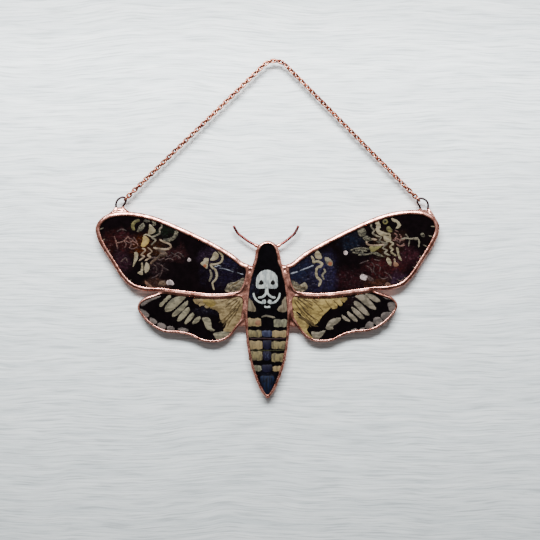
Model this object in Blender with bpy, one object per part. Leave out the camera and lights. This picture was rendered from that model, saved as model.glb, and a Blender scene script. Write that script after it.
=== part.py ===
"""A stained glass hawkmoth that hangs on a chain: five painted panes, each held in a soldered
copper rim, two wire feelers, two wire hanging loops and a fine cable chain.

Metres, +Z up. The moth faces -Y, with its wings spread along X. The origin is the top of the
peg that the chain hangs over.
"""

import math

import bmesh
import bpy
import numpy as np

# Glass, solder and the gap between pieces that touch.
GLASS_THICK = 0.0030
RIM_THICK = 0.0048
GAP = 0.0003
HALF_GAP = GAP / 2

# The body's midline, level with the seam between the wings, from the top of the peg.
MOTH_AT = (-0.0038, 0.0, -0.1212)
# The right wings sit a little higher towards the tip than the left ones.
RIGHT_LIFT = 0.014
ROOT_X = 0.0115

# How far solder stands outside a glass edge (bead) and laps over the glass (lip).
HEAVY = {"bead": 0.0012, "lip": 0.00135}
BROAD = {"bead": 0.00085, "lip": 0.00135}
SOFT = {"bead": 0.00085, "lip": 0.0009}
FINE = {"bead": 0.0008, "lip": 0.0006}
SEAM_LIP = 0.0007

# Seams, as x outwards from the midline, z, and how far each glass edge lies from the seam.
BODY_SEAM = [
    (0.0088, 0.0142, 0.0016),
    (0.0092, 0.0126, 0.0016),
    (0.0103, 0.0073, 0.0012),
    (0.0110, 0.0021, 0.0009),
    (0.0115, -0.0031, 0.0009),
    (0.0119, -0.0084, 0.0009),
    (0.0120, -0.0126, 0.0009),
]
WING_SEAM = [
    (0.0141, 0.0001, 0.0009),
    (0.0194, -0.0009, 0.0009),
    (0.0246, -0.0013, 0.0009),
    (0.0299, -0.0013, 0.0009),
    (0.0351, -0.0009, 0.0009),
    (0.0403, -0.0003, 0.0009),
    (0.0456, 0.0004, 0.0009),
    (0.0508, 0.0010, 0.0009),
    (0.0550, 0.0015, 0.0009),
]
WINGS_FROM = 3  # the body seam's point where the wing seam meets it

# Free glass edges, as x outwards and z.
FORE_LEADING = [
    (0.0117, 0.0144),
    (0.0194, 0.0201),
    (0.0299, 0.0261),
    (0.0403, 0.0312),
    (0.0509, 0.0360),
    (0.0613, 0.0399),
    (0.0719, 0.0418),
]
FORE_TIP = [(0.0811, 0.0414), (0.0866, 0.0388), (0.0892, 0.0342), (0.0875, 0.0278)]
FORE_LOWER = [(0.0816, 0.0178), (0.0750, 0.0079), (0.0698, 0.0037), (0.0631, 0.0022)]
HIND_UPPER = [(0.0590, -0.0009), (0.0642, -0.0027)]
HIND_LOWER = [
    (0.0671, -0.0050),
    (0.0677, -0.0077),
    (0.0652, -0.0115),
    (0.0616, -0.0152),
    (0.0547, -0.0192),
    (0.0455, -0.0200),
    (0.0396, -0.0215),
    (0.0338, -0.0243),
    (0.0255, -0.0246),
    (0.0202, -0.0221),
    (0.0167, -0.0175),
    (0.0144, -0.0148),
]
HEAD = [(0.0029, 0.0261), (0.0042, 0.0247), (0.0052, 0.0225), (0.0060, 0.0187), (0.0063, 0.0160)]
HEAD_TOP = (0.0, 0.0271)
TAIL = [
    (0.0106, -0.0170),
    (0.0105, -0.0214),
    (0.0100, -0.0266),
    (0.0092, -0.0319),
    (0.0082, -0.0362),
    (0.0061, -0.0430),
    (0.0028, -0.0506),
]
TAIL_TIP = (0.0, -0.0537)

# Sampling of the outlines.
FINE_STEP = 0.0004
CORNER_PASSES = 5
STATION_STEP = 0.0052
CURVE_WEIGHT = 0.0070

# Feelers: copper wire with a drop of solder at the head.
FEELER = [
    (0.0062, 0.0255),
    (0.0080, 0.0265),
    (0.0100, 0.0277),
    (0.0123, 0.0295),
    (0.0146, 0.0314),
    (0.0160, 0.0335),
    (0.0171, 0.0358),
]
# The left feeler spreads wider than the right one.
FEELER_SPREAD = {"left": 1.07, "right": 0.93}
FEELER_RADIUS = 0.0005
FEELER_DROP = 0.00085

# Hanging loops: wire, with u towards the body and v up from the foot, and a solder foot.
LOOP = [
    (-0.0020, -0.0004),
    (-0.0022, 0.0026),
    (-0.0015, 0.0047),
    (0.0001, 0.0061),
    (0.0020, 0.0064),
    (0.0034, 0.0052),
    (0.0032, 0.0033),
    (0.0022, 0.0015),
    (0.0018, -0.0004),
]
LOOP_RADIUS = 0.0004
LOOP_AT = {"left": 0.0775, "right": 0.0823}
LOOP_RISE = 0.0010
# The right loop is bent lower than the left one.
LOOP_SQUASH = {"left": 1.0, "right": 0.86}
FOOT_HALF = {"left": 0.0052, "right": 0.0042}
FOOT_HIGH = {"left": 0.0027, "right": 0.0016}
FOOT_EDGE = 0.00025
FOOT_DEEP = 0.0030

# The web of solder that fills the corner between the tail and the hindwing.
WEB_TOP = -0.0120
WEB_FOOT = -0.0168
WEB_DEEP = 0.0026
WEB_BITE = 0.0003

# The chain: oval links that stand crosswise to their neighbours.
LINK_WIRE = 0.00072
LINK_EYE = 0.0010
# The eye of the two end links, which hang round the loops' wire.
END_EYE = 0.0014
LINK_BITE = 0.00012
LINK_COUNT = 103
LINK_ARC_STEPS = 3
PEG_RADIUS = 0.0071
# How far the links lie over on their side in each half of the chain.
CHAIN_ROLL = {"left": math.radians(20), "right": math.radians(45)}
TWIST_LENGTH = 0.016

SIDES = {"left": -1, "right": 1}


def clear_scene():
    for obj in list(bpy.data.objects):
        bpy.data.objects.remove(obj)


def material(name, colour, roughness, metallic):
    made = bpy.data.materials.new(name)
    made.use_nodes = True
    shader = made.node_tree.nodes["Principled BSDF"]
    shader.inputs["Base Color"].default_value = (*colour, 1.0)
    shader.inputs["Roughness"].default_value = roughness
    shader.inputs["Metallic"].default_value = metallic
    made.diffuse_color = (*colour, 1.0)
    return made


def spline(points, closed, per=8):
    """A smooth line through the points, by the centripetal Catmull-Rom formula."""
    points = np.array(points, float)
    if closed:
        padded = np.concatenate([points[-1:], points, points[:2]])
    else:
        first = 2 * points[0] - points[1]
        last = 2 * points[-1] - points[-2]
        padded = np.concatenate([[first], points, [last]])
    made = []
    for p0, p1, p2, p3 in zip(padded, padded[1:], padded[2:], padded[3:]):
        knots = [0.0]
        for a, b in ((p0, p1), (p1, p2), (p2, p3)):
            knots.append(knots[-1] + math.sqrt(np.linalg.norm((b - a)[:2])))
        t0, t1, t2, t3 = knots
        for t in np.linspace(t1, t2, per, endpoint=False):
            a1 = ((t1 - t) * p0 + (t - t0) * p1) / (t1 - t0)
            a2 = ((t2 - t) * p1 + (t - t1) * p2) / (t2 - t1)
            a3 = ((t3 - t) * p2 + (t - t2) * p3) / (t3 - t2)
            b1 = ((t2 - t) * a1 + (t - t0) * a2) / (t2 - t0)
            b2 = ((t3 - t) * a2 + (t - t1) * a3) / (t3 - t1)
            made.append(((t2 - t) * b1 + (t - t1) * b2) / (t2 - t1))
    if not closed:
        made.append(points[-1])
    return np.array(made)


def along_of(line):
    """How far along the line each of its points lies, in x and z."""
    steps = np.linalg.norm(np.diff(line[:, :2], axis=0), axis=1)
    return np.concatenate([[0.0], np.cumsum(steps)])


def pick(line, measure, count):
    """Points at even steps of the measure, from the first to just before the last."""
    wanted = np.linspace(0.0, measure[-1], count, endpoint=False)
    return np.stack([np.interp(wanted, measure, line[:, k]) for k in range(line.shape[1])], axis=1)


def outline(points, seams):
    """Rim stations round a pane, anticlockwise from the front: x, z, bead and lip.

    Corners are rounded, stations lie closer together where the edge turns sharply, and the bead
    stops short of every seam.
    """
    line = spline(points, closed=True)
    line = np.concatenate([line, line[:1]])
    length = along_of(line)[-1]
    line = pick(line, along_of(line), round(length / FINE_STEP))
    for _ in range(CORNER_PASSES):
        line = 0.25 * np.roll(line, 1, axis=0) + 0.5 * line + 0.25 * np.roll(line, -1, axis=0)
    x, z = line[:, 0], line[:, 1]
    if (x * np.roll(z, -1) - np.roll(x, -1) * z).sum() < 0:
        line = line[::-1]
    step = np.roll(line, -1, axis=0)[:, :2] - line[:, :2]
    heading = np.arctan2(step[:, 1], step[:, 0])
    turn = np.abs((np.diff(heading, append=heading[:1]) + math.pi) % (2 * math.pi) - math.pi)
    weight = np.linalg.norm(step, axis=1) + CURVE_WEIGHT * turn
    measure = np.concatenate([[0.0], np.cumsum(weight)])
    stations = pick(np.concatenate([line, line[:1]]), measure, round(measure[-1] / STATION_STEP))
    for seam in seams:
        middle = spline(seam, closed=False)[:, :2]
        apart = stations[:, None, :2] - middle[None, :, :]
        nearest = np.linalg.norm(apart, axis=2).min(axis=1)
        stations[:, 2] = np.minimum(stations[:, 2], nearest - HALF_GAP)
    return stations


def outward(line):
    """The unit vector out of a closed anticlockwise line at each of its points."""
    along = np.roll(line, -1, axis=0)[:, :2] - np.roll(line, 1, axis=0)[:, :2]
    along /= np.linalg.norm(along, axis=1)[:, None]
    return np.stack([along[:, 1], -along[:, 0]], axis=1)


def grown(line, by):
    """A closed line's points moved outwards; by is one distance or one for each point."""
    return line[:, :2] + outward(line) * np.broadcast_to(by, len(line))[:, None]


def free(points, solder):
    return [(x, z, solder["bead"], solder["lip"]) for x, z in points]


def beside(seam, side):
    """Glass edge points beside a seam: side is 1 for the left of its direction, -1 for the right."""
    line = np.array(seam)
    along = np.gradient(line[:, :2], axis=0)
    along /= np.linalg.norm(along, axis=1)[:, None]
    off = np.stack([-along[:, 1], along[:, 0]], axis=1) * side * line[:, 2:3]
    edge = line[:, :2] + off
    return [(x, z, d - HALF_GAP, SEAM_LIP) for (x, z), d in zip(edge, line[:, 2])]


def body_points():
    half = [
        *free([HEAD_TOP, *HEAD], SOFT),
        *beside(BODY_SEAM, -1),
        *free([*TAIL, TAIL_TIP], FINE),
    ]
    other = [(-x, z, bead, lip) for x, z, bead, lip in half[-2:0:-1]]
    return half + other


def forewing_points():
    return [
        *free(FORE_LEADING, HEAVY),
        *free(FORE_TIP, HEAVY),
        *free(FORE_LOWER, BROAD),
        *reversed(beside(WING_SEAM, 1)),
        *reversed(beside(BODY_SEAM[:WINGS_FROM], 1)),
    ]


def hindwing_points():
    return [
        *beside(WING_SEAM, -1),
        *free(HIND_UPPER, SOFT),
        *free(HIND_LOWER, FINE),
        *reversed(beside(BODY_SEAM[WINGS_FROM + 1 :], 1)),
    ]


def on_side(points, side):
    """A pattern's points for the left or right of the moth, with the right wings' lift."""
    made = np.array(points, float)
    if side == "right":
        made[:, 1] += RIGHT_LIFT * np.maximum(made[:, 0] - ROOT_X, 0.0)
    made[:, 0] *= SIDES[side]
    return made


def mesh_object(name, vertices, faces, finish):
    """A mesh object with its faces turned outwards."""
    mesh = bpy.data.meshes.new(name)
    mesh.from_pydata([tuple(v) for v in vertices], [], faces)
    work = bmesh.new()
    work.from_mesh(mesh)
    bmesh.ops.recalc_face_normals(work, faces=work.faces)
    if work.calc_volume(signed=True) < 0:
        bmesh.ops.reverse_faces(work, faces=work.faces)
    work.to_mesh(mesh)
    work.free()
    obj = bpy.data.objects.new(name, mesh)
    bpy.context.scene.collection.objects.link(obj)
    mesh.materials.append(finish)
    return obj


def loop_faces(rings, sides, closed):
    """Quads between neighbouring rings of points, joined end to end if closed."""
    faces = []
    for i in range(rings if closed else rings - 1):
        j = (i + 1) % rings
        for k in range(sides):
            m = (k + 1) % sides
            faces.append((i * sides + k, i * sides + m, j * sides + m, j * sides + k))
    return faces


def slab(name, edge, thick, finish):
    """A flat plate with its faces towards -Y and +Y, from a closed line of x and z."""
    count = len(edge)
    front = [(x, -thick / 2, z) for x, z in edge]
    back = [(x, thick / 2, z) for x, z in edge]
    faces = [tuple(range(count)), tuple(range(2 * count - 1, count - 1, -1))]
    faces += [(i, (i + 1) % count, count + (i + 1) % count, count + i) for i in range(count)]
    return mesh_object(name, front + back, faces, finish)


def rim_section(bead, lip):
    """Solder round a glass edge, as distance out of that edge and depth: a bead outside, a lip
    over each face, and the groove that the glass sits in."""
    groove = GLASS_THICK / 2 + GAP
    crown = RIM_THICK / 2
    top = (bead - lip) / 2
    front = [
        (-lip, -groove),
        ((top - lip) / 2, -0.93 * crown),
        (top, -crown),
        (bead - 0.22 * (bead + lip) / 2, -0.82 * crown),
        (bead, -0.40 * crown),
    ]
    back = [(out, -deep) for out, deep in reversed(front)]
    return front + back + [(GAP, groove), (GAP, -groove)]


def rim(name, line, finish):
    normals = outward(line)
    vertices = []
    for (x, z, bead, lip), (nx, nz) in zip(line, normals):
        vertices += [(x + nx * out, deep, z + nz * out) for out, deep in rim_section(bead, lip)]
    sides = len(rim_section(0.0, 0.0))
    obj = mesh_object(name, vertices, loop_faces(len(line), sides, closed=True), finish)
    obj.data.shade_smooth()
    obj.data.set_sharp_from_angle(angle=math.radians(50))
    return obj


def wire(name, points, radius, finish):
    """A round wire along x and z points, as a closed mesh."""
    curve = bpy.data.curves.new(name, "CURVE")
    curve.dimensions = "3D"
    curve.bevel_depth = radius
    curve.bevel_resolution = 1
    curve.use_fill_caps = True
    path = spline(points, closed=False, per=3)
    piece = curve.splines.new("POLY")
    piece.points.add(len(path) - 1)
    for point, (x, z) in zip(piece.points, path):
        point.co = (x, 0.0, z, 1.0)
    guide = bpy.data.objects.new(name, curve)
    bpy.context.scene.collection.objects.link(guide)
    graph = bpy.context.evaluated_depsgraph_get()
    mesh = bpy.data.meshes.new_from_object(guide.evaluated_get(graph))
    bpy.data.objects.remove(guide)
    work = bmesh.new()
    work.from_mesh(mesh)
    bmesh.ops.remove_doubles(work, verts=work.verts, dist=radius / 100)
    work.to_mesh(mesh)
    work.free()
    mesh.materials.clear()
    mesh.materials.append(finish)
    obj = bpy.data.objects.new(name, mesh)
    bpy.context.scene.collection.objects.link(obj)
    return obj


def fuse(pieces, solver="EXACT"):
    """Joins closed pieces into the first one, which keeps its name."""
    base, others = pieces[0], pieces[1:]
    tools = bpy.data.collections.new(base.name + "_pieces")
    for piece in others:
        tools.objects.link(piece)
    union = base.modifiers.new("union", "BOOLEAN")
    union.operation = "UNION"
    union.operand_type = "COLLECTION"
    union.collection = tools
    union.solver = solver
    graph = bpy.context.evaluated_depsgraph_get()
    mesh = bpy.data.meshes.new_from_object(base.evaluated_get(graph))
    base.modifiers.clear()
    base.data = mesh
    for piece in others:
        bpy.data.objects.remove(piece)
    bpy.data.collections.remove(tools)
    return base


def drop(name, centre, radius, finish):
    """A round blob of solder."""
    mesh = bpy.data.meshes.new(name)
    work = bmesh.new()
    bmesh.ops.create_icosphere(work, subdivisions=2, radius=radius)
    bmesh.ops.translate(work, vec=(centre[0], 0.0, centre[1]), verts=work.verts)
    work.to_mesh(mesh)
    work.free()
    mesh.materials.append(finish)
    obj = bpy.data.objects.new(name, mesh)
    bpy.context.scene.collection.objects.link(obj)
    return obj


def feeler(side, finish):
    root = FEELER[0][0]
    points = [((root + (x - root) * FEELER_SPREAD[side]) * SIDES[side], z) for x, z in FEELER]
    stem = wire(f"antenna_{side}", points, FEELER_RADIUS, finish)
    return fuse([stem, drop("drop", points[0], FEELER_DROP, finish)])


def over_rim(line, x):
    """The height at x that just clears a wing rim's upper outside, near the hanging loop."""
    edge = grown(line, line[:, 2] + GAP)
    upper = edge[(outward(line)[:, 1] > 0.3)]
    order = np.argsort(upper[:, 0])
    return float(np.interp(x, upper[order, 0], upper[order, 1]))


def loop_foot(side, line):
    """Where a hanging loop stands on its wing rim."""
    x = LOOP_AT[side] * SIDES[side]
    return x, over_rim(line, x)


def loop_point(side, line, point):
    x, z = loop_foot(side, line)
    return x - point[0] * SIDES[side], z + LOOP_RISE + point[1] * LOOP_SQUASH[side]


def hanging_loop(side, line, finish, solder):
    """A bent wire loop in a flare of solder that follows the rim."""
    points = [loop_point(side, line, p) for p in LOOP]
    x, _ = loop_foot(side, line)
    across = np.linspace(-1.0, 1.0, 13)
    under = [(x + FOOT_HALF[side] * u, over_rim(line, x + FOOT_HALF[side] * u)) for u in across]
    over = []
    for (px, pz), u in zip(under, across):
        over.append((px, pz + FOOT_EDGE + FOOT_HIGH[side] * math.cos(u * math.pi / 2) ** 2))
    foot = slab("foot", under + over[::-1], FOOT_DEEP, solder)
    ring = wire(f"hanging_loop_{side}", points, LOOP_RADIUS, finish)
    return fuse([ring, foot])


def web(side, body_line, wing_line, finish):
    """The solder that fills the corner between the tail's rim and a hindwing's rim."""
    sign = SIDES[side]
    near = grown(body_line, body_line[:, 2] + GAP)
    near = near[(near[:, 0] * sign > 0) & (near[:, 1] < WEB_TOP) & (near[:, 1] > WEB_FOOT)]
    near = near[np.argsort(near[:, 1])]
    far = grown(wing_line, wing_line[:, 2] - WEB_BITE)
    inner = (far[:, 0] * sign < 0.0165) & (far[:, 1] < WEB_TOP + 0.0005) & (far[:, 1] > WEB_FOOT)
    far = far[inner]
    far = far[np.argsort(-far[:, 1])]
    return slab("web", [tuple(p) for p in near] + [tuple(p) for p in far], WEB_DEEP, finish)


def link_path(eye, eye_long):
    """The middle of a link's wire: half circles joined by straight sides, in x and z."""
    bend = (eye + LINK_WIRE) / 2
    straight = (eye_long - eye) / 2
    made = []
    for end in (1, -1):
        for k in range(LINK_ARC_STEPS + 1):
            angle = math.pi * (k / LINK_ARC_STEPS - 0.5)
            made.append((end * (straight + bend * math.cos(angle)), end * bend * math.sin(angle)))
    return np.array(made)


def link(name, centre, along, roll, eye, eye_long, finish):
    """One link, its long way along the chain, turned about it by roll."""
    path = link_path(eye, eye_long)
    half = LINK_WIRE / 2
    side = np.array([-along[2] * math.cos(roll), math.sin(roll), along[0] * math.cos(roll)])
    across = np.cross(along, side)
    vertices = []
    for (u, v), (nu, nv) in zip(path, outward(path)):
        for out, deep in ((half, half), (half, -half), (-half, -half), (-half, half)):
            spot = (u + nu * out) * along + (v + nv * out) * side + deep * across
            vertices.append(centre + spot)
    return mesh_object(name, vertices, loop_faces(len(path), 4, closed=True), finish)


def chain_route(start, end):
    """The chain's middle line from loop to loop, over the peg, as corner points in x and z."""
    bend = PEG_RADIUS + LINK_WIRE + LINK_EYE / 2
    centre = np.array([0.0, -PEG_RADIUS])
    leans = []
    for point, hand in ((start, 1), (end, -1)):
        away = np.array(point) - centre
        lean = math.atan2(away[1], away[0]) - hand * math.acos(bend / math.hypot(*away))
        leans.append(lean % (2 * math.pi))
    turns = np.linspace(*leans, 60)
    arc = centre + bend * np.stack([np.cos(turns), np.sin(turns)], axis=1)
    return np.concatenate([[start], arc, [end]])


def at_distance(line, measure, s):
    """The point that lies s along the line, which runs on straight past both ends."""
    if s < 0.0:
        return line[0] + (line[1] - line[0]) * s / measure[1]
    if s > measure[-1]:
        return line[-1] + (line[-1] - line[-2]) * (s - measure[-1]) / (measure[-1] - measure[-2])
    return np.array([np.interp(s, measure, line[:, k]) for k in range(2)])


def smooth_step(t):
    t = min(max(t, 0.0), 1.0)
    return t * t * (3 - 2 * t)


def chain_roll(s, length):
    """How far the links lie over at s along the chain; those at the loops stand upright."""
    right_share = smooth_step((s - length / 2) / TWIST_LENGTH)
    free_share = smooth_step(min(s, length - s) / TWIST_LENGTH)
    roll = CHAIN_ROLL["left"] + (CHAIN_ROLL["right"] - CHAIN_ROLL["left"]) * right_share
    return roll * free_share


def chain(start, end, finish):
    """The links from loop to loop; each end link hangs round a loop's wire without touching it."""
    line = chain_route(start, end)
    measure = along_of(line)
    length = measure[-1]
    overhang = LOOP_RADIUS + GAP
    pitch = (length + 2 * overhang + LINK_BITE) / LINK_COUNT
    eye_long = pitch - LINK_BITE
    links = []
    for i in range(LINK_COUNT):
        s = eye_long / 2 - overhang + i * pitch
        back = at_distance(line, measure, s - pitch / 2)
        fore = at_distance(line, measure, s + pitch / 2)
        heading = np.array([fore[0] - back[0], 0.0, fore[1] - back[1]])
        heading /= np.linalg.norm(heading)
        centre = np.array([(fore[0] + back[0]) / 2, 0.0, (fore[1] + back[1]) / 2])
        roll = chain_roll(s, length) + (math.pi / 2 if i % 2 == 0 else 0.0)
        eye = END_EYE if i in (0, LINK_COUNT - 1) else LINK_EYE
        links.append(link("chain", centre, heading, roll, eye, eye_long, finish))
    fuse(links).name = "chain"


def main():
    clear_scene()
    dark_glass = material("wing_glass", (0.030, 0.016, 0.024), 0.12, 0.0)
    pale_glass = material("hindwing_glass", (0.62, 0.50, 0.30), 0.15, 0.0)
    body_glass = material("body_glass", (0.012, 0.012, 0.016), 0.12, 0.0)
    solder = material("copper_solder", (0.72, 0.36, 0.27), 0.28, 1.0)
    copper = material("copper_wire", (0.55, 0.25, 0.16), 0.35, 1.0)
    dark_wire = material("loop_wire", (0.28, 0.20, 0.19), 0.45, 1.0)
    chain_metal = material("chain_copper", (0.68, 0.33, 0.22), 0.30, 1.0)

    moth = bpy.data.objects.new("moth", None)
    moth.location = MOTH_AT
    bpy.context.scene.collection.objects.link(moth)

    seams = {side: [on_side(BODY_SEAM, side), on_side(WING_SEAM, side)] for side in SIDES}
    body_line = outline(body_points(), [seams["left"][0], seams["right"][0]])
    on_moth = [
        slab("body_glass", body_line[:, :2], GLASS_THICK, body_glass),
        rim("body_rim", body_line, solder),
    ]
    pulls = {}
    for side in SIDES:
        fore_line = outline(on_side(forewing_points(), side), seams[side])
        hind_line = outline(on_side(hindwing_points(), side), seams[side])
        hind_rim = rim(f"hindwing_rim_{side}", hind_line, solder)
        on_moth += [
            slab(f"forewing_glass_{side}", fore_line[:, :2], GLASS_THICK, dark_glass),
            slab(f"hindwing_glass_{side}", hind_line[:, :2], GLASS_THICK, pale_glass),
            rim(f"forewing_rim_{side}", fore_line, solder),
            fuse([hind_rim, web(side, body_line, hind_line, solder)]),
            feeler(side, copper),
            hanging_loop(side, fore_line, dark_wire, solder),
        ]
        # The chain pulls up and inwards, so it sits at the loop's uppermost inner point.
        pull = max(spline(LOOP, closed=False), key=sum)
        x, z = loop_point(side, fore_line, pull)
        pulls[side] = (x + MOTH_AT[0], z + MOTH_AT[2])
    for obj in on_moth:
        obj.parent = moth
    chain(pulls["left"], pulls["right"], chain_metal)


main()
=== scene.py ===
"""The looks of the stained glass hawkmoth sun catcher: painted panes, poured copper solder, bent
wire and a chain of oval links, hung in front of a pale painted board.

Metres, in the part's own frame: +Z up, the painted faces look towards -Y. The panes are the part's
own solids with a painted finish. The solder is poured round their edges, and the markings are thin
coats of paint on their fronts. Outlines of markings, and values named PX, are in pixels of the
photograph.
"""

import math

import bmesh
import bpy
import numpy as np
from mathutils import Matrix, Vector, noise
from mathutils.bvhtree import BVHTree

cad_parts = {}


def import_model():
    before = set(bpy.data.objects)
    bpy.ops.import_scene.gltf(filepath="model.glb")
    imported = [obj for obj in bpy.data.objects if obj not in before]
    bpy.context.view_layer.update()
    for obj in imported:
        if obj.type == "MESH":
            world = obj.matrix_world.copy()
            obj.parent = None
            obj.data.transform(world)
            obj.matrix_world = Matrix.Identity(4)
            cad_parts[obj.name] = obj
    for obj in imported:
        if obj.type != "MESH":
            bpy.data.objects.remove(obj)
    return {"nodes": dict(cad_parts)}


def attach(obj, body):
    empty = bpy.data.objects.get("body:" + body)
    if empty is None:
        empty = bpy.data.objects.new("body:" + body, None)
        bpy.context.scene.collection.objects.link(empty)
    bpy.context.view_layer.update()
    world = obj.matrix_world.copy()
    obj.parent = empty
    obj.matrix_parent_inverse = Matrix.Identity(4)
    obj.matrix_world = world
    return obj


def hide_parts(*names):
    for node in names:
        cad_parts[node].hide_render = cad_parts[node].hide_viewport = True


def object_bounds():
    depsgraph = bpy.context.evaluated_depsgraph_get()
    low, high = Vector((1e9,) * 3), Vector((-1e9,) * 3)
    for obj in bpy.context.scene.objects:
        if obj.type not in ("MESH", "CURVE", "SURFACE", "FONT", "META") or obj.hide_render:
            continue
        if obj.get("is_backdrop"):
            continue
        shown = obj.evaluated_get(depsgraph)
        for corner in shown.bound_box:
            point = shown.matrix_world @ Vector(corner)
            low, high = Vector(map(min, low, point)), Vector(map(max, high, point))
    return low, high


MM = 0.001
SIDES = {"left": -1, "right": 1}

# Half thicknesses: of the glass, of the solder, and of the lower solder round the hindwings.
GLASS_FACE = 1.5 * MM
CROWN = 2.4 * MM
HIND_CROWN = 2.1 * MM

# A bead's crown leans towards the glass. Beads are a little fuller than the part's rims, and
# narrower round the hindwings.
CROWN_LEAN = 0.4
BEAD_FULLER = 0.03 * MM
HIND_BEAD = 0.84

# How bright a white face shows in the window's light, in the renderer's numbers.
DAYLIGHT = 3.6

# The finished picture draws every colour this far towards grey, tints it a little, and takes
# green out of the warm colours.
DISPLAY_GREY = 0.16
DISPLAY_TINT = (1.0, 0.995, 0.995)
DISPLAY_WARMTH = 0.09

# The picture's curve from level back to light, the highest level used, and the palest paint.
GLOW_SCALE = 0.215
GLOW_BEND = 1.2
GLOW_TOP = 250
PALEST = 0.9
METAL_GAMMA = 2.2

# A pixel of the photograph on the plane of the glass, its side, and the origin's place in it.
PIXEL = 0.526 * MM
PHOTO_SIDE = 540
ORIGIN_PX = (274.7, 63.3)

# The moth's place and the lines of its wires are the part's. The wires themselves are a little
# stouter, and the inner leg of the left loop leans in more.
MOTH = (-3.8 * MM, -121.2 * MM)
LOOP_FOOT = {"left": (-81.3 * MM, -77.9 * MM), "right": (78.5 * MM, -77.61 * MM)}
LOOP_SQUASH = {"left": 1.0, "right": 0.86}
LOOP = [
    (-2.0, -0.4), (-2.2, 2.6), (-1.5, 4.7), (0.1, 6.1), (2.0, 6.4), (3.4, 5.2), (3.2, 3.3), (2.2, 1.5),
    (1.8, -0.4),
]
LOOP_STEP = 0.2
LOOP_TOP = 6.4
LOOP_RISE = 1.0
LOOP_PINCH = {"left": 0.45, "right": 0.0}
LOOP_WIRE = 0.4 * MM
LOOP_WIRE_SEEN = 0.54 * MM
LOOP_PULL = (3.01, 5.76)
FEELER = [(6.2, 25.5), (8.0, 26.5), (10.0, 27.7), (12.3, 29.5), (14.6, 31.4), (16.0, 33.5), (17.1, 35.8)]
FEELER_STEP = 0.5 * MM
FEELER_SPREAD = {"left": 1.07, "right": 0.93}
FEELER_WIRE = 0.68 * MM
FEELER_TIP = 0.8

# The chain: as many links over the same peg as in the part, of a little stouter wire.
LINK_WIRE = 0.9 * MM
LINK_EYE = 0.92 * MM
END_EYE = 1.4 * MM
LINK_COUNT = 103
LINK_GAP = 0.3 * MM
LINK_BITE = 0.12 * MM
LINK_TURNS = 8
LINK_SIDES = 8
PEG = 7.1 * MM
PEG_STEPS = 60
CHAIN_ROLL = {"left": math.radians(20), "right": math.radians(45)}
CHAIN_LEAD = 10 * MM
TWIST_LENGTH = 16 * MM

# How often the kinks of an open line are evened out.
LINE_PASSES = 4


def glow(level):
    """The light that shows as this level, 0 to 255, in the finished picture."""
    share = min(level, GLOW_TOP) / 255
    return GLOW_SCALE * (share / (1 - share)) ** GLOW_BEND


def linear(rgb):
    """The paint that shows as this colour, 0 to 255, in the window's light."""
    grey = sum(rgb) / 3
    rgb = (rgb[0], rgb[1] + DISPLAY_WARMTH * (rgb[0] - rgb[2]), rgb[2])
    mixed = [glow(tint * (c + (grey - c) * DISPLAY_GREY)) for c, tint in zip(rgb, DISPLAY_TINT)]
    middle = sum(mixed) / 3
    light = [middle + (c - middle) / (1 - DISPLAY_GREY) for c in mixed]
    return tuple(min(max(c / DAYLIGHT, 0.0), PALEST) for c in light) + (1.0,)


def metal_tone(rgb):
    """A metal's own reflecting colour, given as the eye sees it, 0 to 255."""
    return tuple((c / 255) ** METAL_GAMMA for c in rgb) + (1.0,)


def spot(px):
    """x and z of a pixel of the photograph."""
    return (px[0] - ORIGIN_PX[0]) * PIXEL, (ORIGIN_PX[1] - px[1]) * PIXEL


def spline(points, closed=False, per=8):
    """A smooth line through the points."""
    points = np.array(points, float)
    if closed:
        padded = np.concatenate([points[-1:], points, points[:2]])
    else:
        padded = np.concatenate([[2 * points[0] - points[1]], points, [2 * points[-1] - points[-2]]])
    made = []
    for p0, p1, p2, p3 in zip(padded, padded[1:], padded[2:], padded[3:]):
        for t in np.linspace(0, 1, per, endpoint=False):
            bend = (2 * p0 - 5 * p1 + 4 * p2 - p3) * t**2 + (3 * p1 - p0 - 3 * p2 + p3) * t**3
            made.append(0.5 * (2 * p1 + (p2 - p0) * t + bend))
    if not closed:
        made.append(points[-1])
    return np.array(made)


def along_of(line):
    """How far along the line each of its points lies."""
    return np.concatenate([[0.0], np.cumsum(np.linalg.norm(np.diff(line, axis=0), axis=1))])


def even(line, step, closed=False):
    """The line's points again, at even steps."""
    if closed:
        line = np.concatenate([line, line[:1]])
    measure = along_of(line)
    count = max(2, round(measure[-1] / step))
    wanted = np.linspace(0, measure[-1], count + 1)
    made = np.stack([np.interp(wanted, measure, line[:, k]) for k in range(line.shape[1])], axis=1)
    return made[:-1] if closed else made


def unit(rows):
    """The rows, each made one long."""
    return rows / np.maximum(np.linalg.norm(rows, axis=1), 1e-9)[:, None]


def to_the_right(along):
    """The way to the right of each heading."""
    return np.stack([along[:, 1], -along[:, 0]], axis=1)


def outward(line):
    """Which way is out at each point of a closed line that runs anticlockwise."""
    return to_the_right(unit(np.roll(line, -1, axis=0) - np.roll(line, 1, axis=0)))


def anticlockwise(line):
    """The closed line, turned round if it runs clockwise."""
    x, z = line[:, 0], line[:, 1]
    area = (x * np.roll(z, -1) - np.roll(x, -1) * z).sum()
    return line[::-1] if area < 0 else line


def in_plane(line):
    """The points of a flat line, in the middle plane of the glass."""
    return [(x, 0.0, z) for x, z in line]


def settle(values, passes=6):
    """The values round a closed line, with their jumps evened out."""
    values = np.array(values, float)
    for _ in range(passes):
        values = 0.25 * np.roll(values, 1) + 0.5 * values + 0.25 * np.roll(values, -1)
    return values


def settle_line(line):
    """An open line with its kinks evened out and its ends kept."""
    line = np.array(line, float)
    for _ in range(LINE_PASSES):
        line[1:-1] = 0.25 * line[:-2] + 0.5 * line[1:-1] + 0.25 * line[2:]
    return line


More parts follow.
